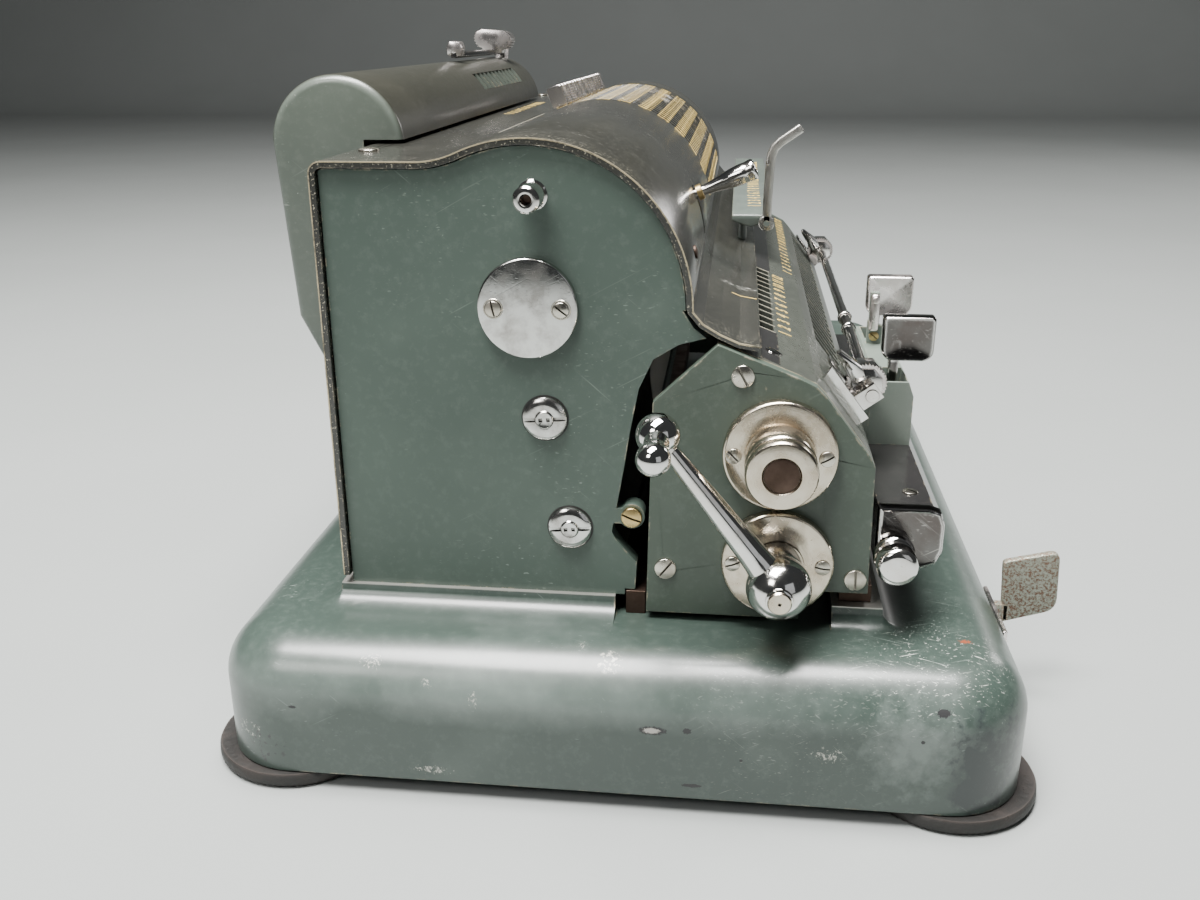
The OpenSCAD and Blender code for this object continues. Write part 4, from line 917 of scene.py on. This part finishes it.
def build_caps():
    """The bearing discs on both side plates and the two spanner caps, each cap ringed by a thin near-black
    disc of painted shadow.
    """
    left = [(-2.0, 0.0)] + arc((-1.45, 11.35), 0.55, 180, 90, 4)
    left += [(-0.15, 11.9), (0.0, 11.75), (0.0, 6.6), (5.0, 6.6), (5.0, 5.05), (0.3, 5.05), (0.3, 0.0)]
    right = [(300.0, 5.05), (300.0, 6.6), (305.0, 6.6), (305.0, 13.7), (305.4, 14.0), (308.4, 14.0),
             (BODY_RIGHT, 13.4), (BODY_RIGHT, 5.05), (300.0, 5.05)]
    part = Part().lathe(left, on_x(0, DRUM), 128).lathe(right, on_x(0, DRUM), 128)
    profile = [(-1.6, 0.0), (-2.0, 1.9), (-1.95, 2.0), (-1.55, 2.3), (-1.7, 3.4), (-1.45, 4.7), (-0.9, 5.35),
               (-0.3, 5.5), (0.0, 5.5), (0.0, 4.5), (5.0, 4.5), (5.0, 0.0)]
    turned = on_x(0, (0, 0), -4)
    slots = [((-3.0, y0, -half), (deep, y1, half), turned) for y0, y1, half, deep in (
        (-6.0, -2.2, 0.5, -1.0), (2.2, 6.0, 0.5, -1.0), (-1.4, -0.5, 0.45, -1.3), (0.5, 1.4, 0.45, -1.3),
    )]
    # Painted shadow: a thin near-black ring round each spanner cap.
    shadow_rings = Part()
    for at in SPANNER_CAPS:
        part.join(Part().lathe(profile, steps=96).cut(slots), on_x(0, at))
        shadow_rings.lathe([(0.1, 5.45), (-0.06, 5.45), (-0.06, 5.8), (0.1, 5.8), (0.1, 5.45)], on_x(0, at), 96)
    part.piece("bearing_discs", "cap", "frame", "cap_chrome", "bearing_caps")
    shadow_rings.piece("cap_shadow_rings", "painted_gap_shadow", "frame", "cap_chrome")


def build_screws():
    """The body's screws, the brass stop screw and the locating stud."""
    part = Part()
    for side, turn in ((-8.0, 52.0), (8.0, 12.0)):
        at = (DRUM[0] + side, DRUM[1])
        far = (DRUM[0] + side * 1.3, DRUM[1])
        part.screw(on_x(-2.0, at), 1.9, 0.7, 0.42, 0.5, 0.25, 90 - turn)
        part.lathe([(-2.0, 1.95), (-2.12, 2.05), (-2.12, 2.3), (-2.0, 2.4)], on_x(0, at), 48)
        part.screw(on_x(BODY_RIGHT, far) @ X_TO_MINUS_X, 1.9, 0.9, 0.42, 0.5, 0.1, turn)
    for x, turn in ((22.0, 20.0), (283.0, 70.0)):
        part.screw(Matrix.Translation((x, 64.0, DECK_Z)) @ X_TO_MINUS_Z, 2.6, 0.55, 0.5, 0.4, 0.3, turn)
    part.piece("frame_screws", "screw", "frame", "body_screw_nickel", "body_screws")
    part = Part().screw(on_x(0.0, (-3.3, 26.5)), 2.6, 1.2, 0.5, 0.5, 0.35, 20.0)
    part.piece("stop_screw", "brass", "frame", "body_screw_nickel")
    stud = [(-6.0, 0.0), (-6.0, 1.0), (-8.4, 1.05), (-8.9, 1.4), (-9.0, 1.9), (-8.8, 2.6), (-8.3, 3.05),
            (-7.6, 3.1), (-0.5, 3.1), (-0.2, 3.5), (0.0, 3.5), (0.0, 2.0), (4.0, 2.0), (4.0, 0.0)]
    part = Part().lathe(stud, on_x(0, STUD), 96)
    part.piece("plate_stud", "chrome", "frame", "stud_chrome", "locating_stud")
    core = Part().lathe([(-6.02, 0.98), (-6.5, 0.95), (-6.6, 0.0)], on_x(0, STUD), 32)
    core.piece("stud_core", "brown", "frame", "stud_chrome")
    spot = radial(27.0, DRUM, 13.0) @ Matrix.Translation((0, 0, HUMP_R)) @ X_TO_MINUS_Z
    part = Part().screw(spot, 1.7, 0.5, 0.4, 0.35, 0.3, 25.0)
    part.piece("cover_front_screw", "brown", "frame", "body_screw_nickel")


def build_levers():
    """Setting levers: a ring round the drum, an arm through the slot and a serrated tip."""
    tip_r = HUMP_R + 0.4
    back = 0.5
    height = 7.0
    teeth = 7
    rise = (height - 0.8) / teeth
    side = [(tip_r, 2.4)]
    for k in range(teeth):
        low = tip_r + 0.4 + rise * k
        side += [(low, 2.45), (low + rise * 0.5, 2.8)]
    side.append((tip_r + height, 2.2))
    tip = [(back + b, a) for a, b in mirrored(side)]
    arm = [(-1.6, 27.5), (1.6, 27.5), (1.6, tip_r + 1), (-1.6, tip_r + 1)]
    ring = [(-1.2, 24.05), (-1.2, 29.0), (1.2, 29.0), (1.2, 24.05), (-1.2, 24.05)]
    for i in range(COLUMNS):
        x = FIRST_COLUMN_X + PITCH * i + 5.0
        spot = radial(x, DRUM, LEVER_ZERO)
        part = Part().lathe(ring, on_x(x, DRUM), 96)
        part.prism(arm, -1.0, 1.0, spot, 0.25).prism(tip, -2.75, 2.75, spot, 0.12, 1)
        name = "lever_%02d" % (i + 1)
        part.piece(name + "_body", "tips", name, "setting_lever_chrome", "setting_" + name, sharp=28)


def build_clearing_lever():
    """The turned lever on the hump, with a brass collar."""
    hub = [(-2.5, 5.05), (-2.5, 8.6), (-2.1, 9.0), (2.1, 9.0), (2.5, 8.6), (2.5, 5.05), (-2.5, 5.05)]
    along = radial(85.0, DRUM, 23.5) @ X_TO_Z
    knob = [(0.0, 2.1), (0.9, 2.1), (1.5, 1.6), (4.0, 1.75), (8.0, 2.3), (11.0, 2.8), (14.0, 3.0),
            (15.5, 2.95), (16.2, 3.0), (17.4, 3.1), (18.1, 2.7), (18.3, 1.6), (18.0, 1.3), (18.0, 0.0)]
    knob = [(HUMP_R + 0.6, 0.0)] + [(HUMP_R + 0.6 + a, r) for a, r in smooth_profile(knob, 4)]
    rod = [(7.0, 0.0), (7.0, 1.6), (42.0, 1.6), (42.0, 0.0)]
    part = Part().lathe(hub, on_x(85.0, DRUM)).lathe(rod, along, 32).lathe(knob, along)
    part.piece("clearing_lever_body", "chrome", "clearing_lever", "clear_lever_chrome", "setting_clear_lever")
    collar = [(HUMP_R + a, r) for a, r in ((0.62, 2.05), (0.62, 2.35), (2.1, 2.35), (2.3, 1.8))]
    part = Part().lathe(collar, along, 48)
    part.piece("clearing_lever_collar", "brass", "clearing_lever", "clear_lever_chrome")


def build_zero_lever():
    """The check dial's lever: an end arm, a thumb piece, a catch and the long bar that carries them."""
    spot = on_x(0, HOUSING, 95)
    arm = arc((0, 0), 5, 40, 320, 32) + [(21.2, -2.6), (21.6, -1.6), (21.6, 1.6), (21.2, 2.6)]
    thumb = [(20.0, 3.6), (21.6, 4.2)]
    for k in range(6):
        reach = 5.2 + 2.6 * math.sin(math.pi * (k + 1) / 8)
        thumb += [(22.0 + 1.05 * k, reach + 0.25), (22.55 + 1.05 * k, reach - 0.3)]
    thumb.append((28.9, 4.6))
    part = Part().prism(arm, 256.35, 258.9, spot, 0.35).prism(mirrored(thumb), 235.4, 245.2, spot, 0.3)
    part.prism(mirrored([(20.0, 2.4), (23.0, 2.9), (25.0, 1.9)]), 168.4, 174.2, spot, 0.45)
    part.piece("zero_lever_body", "tips", "zero_lever", "zero_lever_chrome", "check_zero_lever", sharp=28)
    bar = Part().block((168.3, 19.3, -1.15), (257.4, 21.35, 1.15), 0.45, spot, 3)
    bar.piece("zero_lever_bar", "black", "zero_lever", "zero_lever_chrome")


BENT_FOOT = (-36.4, 78.4)


def build_bent_lever():
    path = [BENT_FOOT, (-36.6, 90.0), (-36.9, 97.5), (-37.2, 100.5), (-38.1, 103.0), (-40.0, 104.9),
            (-43.4, 107.2), (-46.6, 109.4)]
    left, right = beside(path, 1.5, -1.5)
    part = Part().prism(left + right[::-1], 130.7, 133.3, width=0.6, segments=3)
    part.lathe(disc_profile(2.6, 2.6, 0.3), on_x(130.7, BENT_FOOT), 48)
    part.piece("bent_lever_body", "lever", "bent_lever", "transfer_lever_steel", "transfer_lever")


def build_crank_grip():
    outer = [(0.0, 6.6), (0.5, 7.4), (2.0, 8.5), (8.0, 9.2), (18.0, 9.5), (27.0, 9.2), (34.0, 8.3),
             (38.4, 7.2), (40.0, 6.2)]
    profile = [(0.0, 4.05)] + smooth_profile(outer, 5) + [(40.2, 6.0), (40.2, 4.05), (0.0, 4.05)]
    part = Part().lathe(profile, on_x(319.4, (DRUM[0], DRUM[1] - 62.0)), 96)
    part.piece("crank_grip_body", "grip", "grip", "grip_plastic", "crank_grip")


def around(x0, at, radius, angle):
    """Where a digit lies on a round surface about an axis along X; up runs to larger angles."""
    def spot(right, up, out):
        a = math.radians(angle) + up / radius
        r = radius + 0.05 + out
        return (x0 + right, at[0] - r * math.cos(a), at[1] + r * math.sin(a))
    return spot


def flat(x0, point, up_dir=(1, 0), out_dir=(0, 1)):
    """Where a digit lies on a flat face; point and directions are in (y, z)."""
    def spot(right, up, out):
        lift = 0.05 + out
        return (x0 + right, *(p + up * u + lift * o for p, u, o in zip(point, up_dir, out_dir)))
    return spot


def build_digits():
    """Digits on the hump, the deck, the carriage, the scale block and the wheels."""
    part = Part()
    for i in range(COLUMNS + 1):
        x = FIRST_COLUMN_X + PITCH * i + 5.0 - PITCH / 2
        for k in range(10):
            part.write(str(k), 6.8, around(x, DRUM, HUMP_R, LEVER_ZERO - DIGIT_STEP * k))
    for i in range(11):
        part.write(str(i + 1), 5.2, flat(WINDOWS_X + PITCH * (i + 0.5), (55.4, DECK_Z)), 0.08)
    part.piece("hump_digits", "gold", "frame", "cover_enamel", merge=False)

    part = Part()
    for count, x0, middle, size, first, last in (
        (12, CARRIAGE_NUMBERS_X, (-40.0, 64.81), 5.0, FACET[0], FACET[1]),
        (18, 122.0, (-43.9, 63.1), 4.6, FACET[1], FACET[2]),
    ):
        down = (Vector(last) - Vector(first)).normalized()
        for i in range(count):
            spot = flat(x0 + PITCH * (i + 0.5), middle, (-down.x, -down.y), (down.y, -down.x))
            part.write(str(i + 1), size, spot, 0.12)
    part.piece("carriage_numbers", "gold", "carriage", "carriage_enamel", merge=False)

    part = Part()
    for i in range(22):
        part.write(str(i + 1), 6.4, flat(143.0 + PITCH * (i + 0.5), (-32.4, 82.0)), 0.1)
    part.piece("block_numbers", "gold", "frame", "block_enamel", merge=False)

    for name, body, count, x0, axis, radius, first, size, weight in (
        ("result", "result_register", 28, 55.1, RESULT, 12.8, 37.4, 3.6, 0.05),
        ("counter", "turn_counter", 12, CARRIAGE_NUMBERS_X, COUNTER, 4.2, 108.0, 1.9, 0.0),
        ("check", "check_wheels", 11, WINDOWS_X, CHECK_AXLE, 8.0, 40.0, 4.0, 0.04),
    ):
        part = Part()
        for i in range(count):
            for k in range(10):
                spot = around(x0 + PITCH * (i + 0.5), axis, radius, first + 36 * k)
                part.write(str(k), size, spot, weight)
        part.piece(name + "_digits", "white", body, name + "_wheel_black", merge=False)


def on_facet(forward):
    """A point on the carriage's top facet at a distance in front of the middle."""
    (y0, z0), (y1, z1) = FACET[:2]
    return (-forward, z0 + (z1 - z0) * (forward + y0) / (y0 - y1))


def facet_band(start, end, lift):
    """Section of a thin band on the top facet between two distances in front of the middle."""
    a, b = on_facet(start), on_facet(end)
    return [(a[0], a[1] + lift), (b[0], b[1] + lift), (b[0], b[1] - 0.05), (a[0], a[1] - 0.05)]


def apron_z(y):
    """Height just above the front apron, on both sides of its bend."""
    return 73.43 + (y + 23.9) * 0.43 if y > -28.2 else 71.65 + (y + 28.2) * 0.17


def build_lines():
    """The index mark, the dark strip and pale bars of the counter windows, and the deck's seam."""
    part = Part()
    for x0, x1, stops in ((48.35, 49.0, (-24.0, -28.2, -32.6)), (47.6, 49.7, (-24.0, -25.6))):
        line = [(y, apron_z(y)) for y in stops]
        part.prism(line + [(y, z - 0.25) for y, z in reversed(line)], x0, x1)
    part.piece("index_line", "gold", "frame", "cover_enamel", merge=False)
    strip = facet_band(33.2, 37.8, 0.06)
    part = Part().prism(strip, 2.0, 31.8).prism(strip, 111.4, 240.0)
    part.piece("window_strip", "black", "carriage", "carriage_enamel", merge=False)
    part = Part()
    for i in range(13):
        x = CARRIAGE_NUMBERS_X + PITCH * i
        part.prism(facet_band(33.3, 37.5, 0.07), x - 0.3, x + 0.3)
    part.piece("window_bars", "pale_line", "carriage", "carriage_enamel", merge=False)
    y = 41.2
    z = DIP[1] - math.sqrt(DIP_R ** 2 - (DIP[0] - y) ** 2)
    seam = [(y - 0.2, z + 0.07), (y + 0.2, z + 0.01), (y + 0.2, z - 0.1), (y - 0.2, z - 0.1)]
    Part().prism(seam, 70.0, 149.0).piece("deck_seam", "pale_line", "frame", "cover_enamel", merge=False)


def build_bushings():
    flange = [(-2.9, 4.05), (-5.9, 4.05), (-6.0, 4.3), (-6.0, 12.7), (-5.9, 13.1), (-5.6, 13.4), (-5.2, 13.5),
              (-3.2, 13.5), (-3.0, 13.3), (-3.0, 6.0), (0.0, 6.0), (0.0, 4.05), (-2.9, 4.05)]
    for name, at, material in (("upper", RESULT, "nickel"), ("lower", CLEAR, "nickel_low")):
        part = Part().lathe(flange, on_x(0, at), 128)
        part.lathe(flange, on_x(CARRIAGE_RIGHT - 3.0, at) @ X_TO_MINUS_X, 128)
        part.piece("bushing_" + name, material, "carriage", "bushing_nickel", "clearing_bushings")


def build_carriage_screws():
    part = Part()
    sizes = (2.7, 0.7, 0.55, 0.55, 0.35)
    for k, (at, turn) in enumerate((((-29.2, 64.2), 62.0), ((-11.9, 14.3), 128.0), ((-58.1, 13.5), 88.0))):
        part.screw(on_x(-3.0, at), *sizes, turn)
        part.screw(on_x(CARRIAGE_RIGHT, at) @ X_TO_MINUS_X, *sizes, 30.0 + 40 * k)
    sizes = (1.9, 0.5, 0.42, 0.45, 0.3)
    off = 10.8
    for at, side, turn in (
        (RESULT, -off, 150.0), (RESULT, off, 45.0), (CLEAR, -off, 8.0), (CLEAR, off, 160.0),
    ):
        spot = (at[0] + side, at[1])
        part.screw(on_x(-6.0, spot), *sizes, turn)
        part.screw(on_x(CARRIAGE_RIGHT + 3.0, spot) @ X_TO_MINUS_X, *sizes, turn + 30)
    part.piece("carriage_screw_heads", "screw", "carriage", "carriage_screw_nickel", "carriage_screws")


def build_result_shaft():
    """The result wheels' shaft with its grooved hub, gear and dark centre."""
    hub = [(-17.9, 0.0), (-17.9, 4.1), (-18.1, 4.3), (-18.5, 4.5), (-18.5, 7.4), (-18.35, 7.85),
           (-17.9, 8.15), (-17.4, 8.3), (-15.6, 8.3), (-15.2, 7.7), (-14.6, 7.6), (-14.2, 8.0),
           (-13.6, 8.3), (-7.2, 8.3), (-6.6, 8.2), (-6.3, 7.9), (-6.3, 4.0), (250.7, 4.0), (250.7, 0.0)]
    part = Part().lathe(hub, on_x(0, RESULT), 128).gear(RESULT, CLEAR)
    part.piece("result_hub", "nickel", "result_register", "result_hub_nickel", "product_shaft")
    part = Part().lathe([(-18.25, 0.0), (-18.25, 3.6), (-18.1, 4.0), (-17.95, 4.08)], on_x(0, RESULT), 64)
    part.piece("result_hub_core", "brown", "result_register", "result_hub_nickel")


def build_clearing_crank():
    """The crank's ball hub with its shaft, the tapered arm, the two-ball knob and the slotted pin."""
    ball_r = 7.65
    big_r = 5.1
    bore = 1.25
    start = math.degrees(math.acos(3.2 / ball_r))
    end = math.degrees(math.acos(6.4 / ball_r))
    ball = [(-8.1, 0.0), (-8.15, 1.6), (-8.05, 2.7), (-7.8, 3.1), (-7.3, 3.2)]
    ball += arc((0, 0), ball_r, 90 + start, 90 - end, 24)
    ball += [(5.2, 6.1), (5.6, 6.0), (6.2, 6.3), (11.1, 6.3), (11.1, 4.0), (268.2, 4.0), (268.2, 0.0)]
    reach = Vector(KNOB) - Vector(CLEAR)
    length = reach.length
    arm = [(5.0, 0.0), (5.0, 3.9), (6.6, 3.85), (8.0, 3.6), (11.0, 3.35), (length - 4.6, 1.95),
           (length - 3.0, 1.9), (length - 2.0, 0.0)]
    big = [(-4.9, bore)] + [p for p in arc((0, 0), big_r, 180, 0, 32) if p[1] >= bore]
    big += [(4.9, bore), (-4.9, bore)]
    part = Part().lathe(ball, on_x(BALL_X, CLEAR), 128)
    part.lathe(arm, radial(BALL_X, CLEAR, 180 - math.degrees(math.atan2(reach.y, reach.x))) @ X_TO_Z, 64)
    part.lathe(big, on_x(BALL_X, KNOB), 96).gear(CLEAR, RESULT, 9.0)
    part.piece("clearing_crank_body", "chrome", "clearing_crank", "clear_crank_chrome", "clear_crank")
    pin = [(-7.6, 0.0), (-7.6, 2.8), (-8.2, 2.8), (-8.6, 2.5), (-8.72, 1.7), (-8.78, 0.0)]
    pin = Part().lathe(pin, steps=64)
    pin.cut([((-9.5, -0.35, -0.35), (-8.2, 0.35, 0.35), Matrix.Rotation(0.4, 4, "X"))])
    part = Part().join(pin, on_x(BALL_X, CLEAR))
    part.piece("clearing_crank_pin", "nickel_low", "clearing_crank", "clear_crank_chrome")
    small = arc((0, 0), 3.8, 180, 42, 24)
    small += [(5.0, 2.15), (6.5, 1.95), (8.2, 2.1), (9.6, 2.9), (10.1, 2.9), (10.1, 1.2), (15.1, 1.2),
              (15.1, 0.0)]
    part = Part().lathe(small, on_x(-33.0, KNOB), 96)
    part.piece("clearing_knob_body", "chrome", "clearing_knob", "clear_knob_chrome", "clear_crank_knob")


def build_pointer(name, x0, body):
    """A sliding pointer: a bright tongue, a finger plate on the slope and a faceted, ribbed knob."""
    slot = name + "_chrome"
    plate = [slope(3.0, 1.2), slope(13.2, 1.2), slope(13.2, 2.2), slope(3.0, 2.1)]
    tongue = [slope(1.4, 4.6), slope(2.4, 4.2), slope(9.7, 3.5), slope(11.0, 4.5), slope(11.0, 7.0),
              slope(8.2, 7.9), slope(1.6, 5.8)]
    part = Part().prism(plate, x0 + 3.2, x0 + 9.8, width=0.2).prism(tongue, x0 + 0.2, x0 + 3.9, width=0.35)
    at = slope(13.2, 6.1)
    for r, near, far in ((5.35, 3.2, 10.9), (4.4, 2.5, 3.4)):
        part.prism(arc(at, r, 22.5, 337.5, 7), x0 + near, x0 + far, width=0.35)
    part.piece(name + "_body", "chrome", body, slot, name, sharp=28)
    ribs = [polar(at, r, 10 * (k + share)) for k in range(36) for share, r in ((0.0, 4.85), (0.5, 5.3))]
    foot = [slope(12.0, 0.9), slope(16.8, 0.9), slope(16.8, 2.4), slope(14.6, 3.2), slope(12.0, 2.6)]
    part = Part().prism(ribs, x0 + 3.0, x0 + 4.4).prism(foot, x0 + 0.6, x0 + 3.4, width=0.3)
    part.piece(name + "_ribs", "tips", body, slot, sharp=22)


# The keys' dished faces: share of the outline and depth below the full thickness
DISH = ((0.0, 0.75), (0.3, 0.7), (0.6, 0.5), (0.84, 0.2), (0.93, 0.08), (0.97, 0.3), (1.0, 0.8))


def build_keys():
    """The two shift keys: a dished pad on a stem, with its pivot."""
    width = 14.0
    height = 12.4
    thick = 5.0
    for name, x, front, low, body, material in (
        ("near", 55.0, -81.4, 53.4, "left_key", "dark_chrome"),
        ("far", 102.0, -81.7, 55.0, "right_key", "tips"),
    ):
        outline = []
        for cy, cz, r, start in ((width - 0.9, height - 0.9, 0.9, 0), (0.9, height - 0.9, 0.9, 90),
                                 (3.0, 3.0, 3.0, 180), (width - 3.0, 3.0, 3.0, 270)):
            outline += arc((front + cy, low + cz), r, start, start + 90, 6)
        middle = Vector((front + width / 2, low + height / 2))
        part = Part()
        rims = []
        for sign in (-1, 1):
            loops = []
            for share, dip in DISH:
                points = [(x + sign * (thick / 2 - dip), *p) for p in scaled(outline, middle, share)]
                loops.append(part.loop(points) if share else part.loop(points[:1]) * len(points))
            part.skin(loops)
            rims.append(loops[-1])
        part.skin(rims)
        stem = [(-72.2, 36.5), (-69.6, 36.5), (-69.6, low + 3.0), (-70.4, low + 5.5), (-72.2, low + 5.5)]
        part.prism(stem, x - 1.6, x + 1.6, width=0.35)
        along_y = Matrix.Rotation(math.pi / 2, 4, "Z")
        part.lathe(disc_profile(7.2, 1.5, 0.2), Matrix.Translation((x, -75.3, 36.5)) @ along_y, 32)
        part.lathe(disc_profile(4.4, 3.0, 0.3), Matrix.Translation((x, -73.1, 36.5)) @ along_y, 48)
        part.piece(name + "_key_body", material, body, name + "_key_chrome", name + "_shift_key")


def build_front_bar():
    """The bar's chrome end cap with its mirror face and bright bevel, painted as dark reflection and
    highlight, the small end knob and a screw.
    """
    section = [(-63.0, 15.9), (-73.9, 15.9), (-77.2, 17.3), (-78.6, 20.6), (-78.6, 27.6), (-77.6, 30.6),
               (-75.0, 31.5), (-63.0, 31.5)]
    middle = Vector((-70.8, 23.7))
    steps = ((3.2, 1.0), (0.4, 1.0), (-0.15, 0.975), (-0.3, 0.92), (-0.1, 0.86))
    part = Part().solid([[(x, *p) for p in scaled(section, middle, share)] for x, share in steps])
    part.piece("bar_end", "dark_chrome", "carriage", "bar_black", sharp=24)
    profile = [(0.0, 0.0), (0.05, 3.0), (0.3, 3.9), (0.9, 4.6), (1.6, 4.9), (4.6, 4.9), (5.0, 4.5),
               (5.4, 4.5), (5.8, 4.9), (6.2, 4.9), (6.6, 4.5), (7.0, 4.5), (7.4, 4.9), (8.0, 5.1),
               (8.6, 4.9), (8.7, 1.5), (19.7, 1.5), (19.7, 0.0)]
    part = Part().lathe(profile, on_x(-9.0, (-67.2, 19.5)), 96)
    part.piece("bar_knob_body", "chrome", "end_knob", "bar_knob_chrome", "bar_knob")
    spot = Matrix.Translation((12.1, -71.7, 31.0)) @ X_TO_MINUS_Z
    part = Part().screw(spot, 1.9, 0.35, 0.4, 0.3, 0.2, 40.0)
    part.piece("bar_screw", "screw", "carriage", "carriage_screw_nickel")


def build_tab():
    """The rusty tab on the base's front, with its stem and the shoe behind the slot."""
    front = -100.0
    corners = [Vector((front + y, z)) for y, z in ((-3.2, 0.6), (-18.0, 4.4), (-19.0, -13.5), (-4.5, -18.1))]
    outline = []
    for k, (here, r) in enumerate(zip(corners, (1.2, 3.0, 3.6, 1.0))):
        a = here + (corners[k - 1] - here).normalized() * r
        b = here + (corners[(k + 1) % 4] - here).normalized() * r
        for t in (0.0, 0.2, 0.4, 0.6, 0.8, 1.0):
            outline.append(a * (1 - t) ** 2 + here * 2 * t * (1 - t) + b * t * t)
    part = Part().prism(outline, 38.6, 40.9, width=0.5, segments=3)
    part.block((38.6, front - 6.0, -17.5), (41.4, front + 7.0, -12.5))
    part.block((36.5, front + 4.6, -20.5), (43.5, front + 7.0, -11.5))
    part.piece("tab_body", "rusty", "tab", "tab_steel", "tab_lever")


def build_small_details():
    """The carriage's small screws, rail collars, key post and the cover of the counter shaft's bore."""
    spot = on_x(11.8, on_facet(36.5), 21.5) @ X_TO_MINUS_Z
    part = Part().screw(spot, 2.2, 0.25, 0.4, 0.2, 0.3, 30.0)
    part.piece("facet_screw", "chrome", "carriage", "carriage_screw_nickel")
    collar = disc_profile(2.4, 2.3, 0.6)
    part = Part()
    for x in (95.0, 110.0):
        part.lathe(collar, on_x(x, slope(14.9, 6.0)), 48)
    part.piece("rail_collars", "chrome", "carriage", "pointer_rail_chrome")
    part = Part().block((85.0, -70.0, 53.5), (89.3, -67.4, 64.8), 0.9, segments=4)
    part.lathe(disc_profile(1.0, 1.1, 0.4), on_x(84.2, (-68.7, 63.2)), 32)
    part.piece("key_side_bar", "tips", "carriage", "key_housing_enamel")
    part = Part().screw(on_x(88.0, (-69.2, 51.4)), 1.5, 0.3, 0.35, 0.25, 0.2, 40.0)
    part.piece("key_plate_screw", "brass", "carriage", "key_housing_enamel")
    part = Part().lathe([(-2.9, 0.0), (-2.9, 1.7), (-3.04, 1.65), (-3.04, 0.0)], on_x(0, COUNTER), 32)
    part.piece("shaft_hole_cover", "carriage_plate", "carriage", "carriage_enamel")


def stage():
    """A pale floor that curves up into a wall."""
    s = Shader("stage_pale")
    tone = s.blend(s.noise(6.0, 3.0), (0.24, 0.255, 0.248), (0.27, 0.285, 0.28))
    s.bump(s.noise(400.0, 3.0), 0.1, 0.0003)
    profile = [(-1.5, 0.0), (2.2, 0.0)] + arc((2.2, 0.5), 0.5, -90, 0, 12)[1:] + [(2.7, 3.0)]
    part = Part()
    part.skin([part.loop((x, y, z) for x, z in profile) for y in (3.5, -3.5)], closed=False)
    for face in part.bm.faces:
        face.smooth = True
    mesh = bpy.data.meshes.new("floor")
    part.bm.to_mesh(mesh)
    part.bm.free()
    mesh.materials.append(s.finish(tone, 0.75))
    add_object("floor", mesh)


def area(name, at, target, size, power, colour, tall=None):
    light = bpy.data.lights.new(name, "AREA")
    light.energy = power
    light.color = colour
    light.size = size
    if tall:
        light.shape = "RECTANGLE"
        light.size_y = tall
    obj = add_object(name, light)
    obj.location = at
    obj.rotation_euler = (Vector(target) - Vector(at)).to_track_quat("-Z", "Y").to_euler()


def lights():
    world = bpy.data.worlds.new("soft_world")
    bpy.context.scene.world = world
    world.use_nodes = True
    background = world.node_tree.nodes["Background"].inputs
    background["Color"].default_value = (0.80, 0.84, 0.86, 1)
    background["Strength"].default_value = 0.055
    area("key", (-1.0, 0.55, 0.85), (-0.05, 0.0, 0.06), 0.35, 5.5, (1.0, 0.98, 0.95))
    area("fill", (-1.2, -0.9, 0.5), (0.0, 0.0, 0.06), 0.8, 1.0, (0.94, 0.97, 1.0))
    area("top", (-0.22, 0.12, 1.15), (-0.08, 0.0, 0.0), 0.5, 84.0, (1.0, 0.99, 0.97), 0.9)
    area("rear", (1.1, -1.0, 0.55), (0.0, -0.03, 0.1), 0.3, 3.0, (1.0, 0.97, 0.95))


def camera():
    """The photo's viewing angle, worked out from its vanishing points."""
    data = bpy.data.cameras.new("camera")
    data.sensor_fit = "HORIZONTAL"
    data.sensor_width = 36.0
    data.lens = 34.21
    obj = add_object("camera", data)
    obj.matrix_world = Matrix((
        (0.1171, 0.3425, -0.9322, -0.4206),
        (-0.9931, 0.0349, -0.1119, -0.0193),
        (-0.0058, 0.9389, 0.3442, 0.177),
        (0.0, 0.0, 0.0, 1.0),
    ))
    bpy.context.scene.camera = obj


for row in DRESSED:
    dress(*row)
build_base()
build_feet()
build_rims()
build_housing()
build_scale_block()
build_caps()
build_screws()
build_levers()
build_clearing_lever()
build_zero_lever()
build_bent_lever()
build_crank_grip()
build_digits()
build_lines()
build_bushings()
build_carriage_screws()
build_result_shaft()
build_clearing_crank()
build_pointer("near_pointer", 29.0, "left_pointer")
build_pointer("far_pointer", 221.0, "right_pointer")
build_keys()
build_front_bar()
build_tab()
build_small_details()
stage()
lights()
camera()
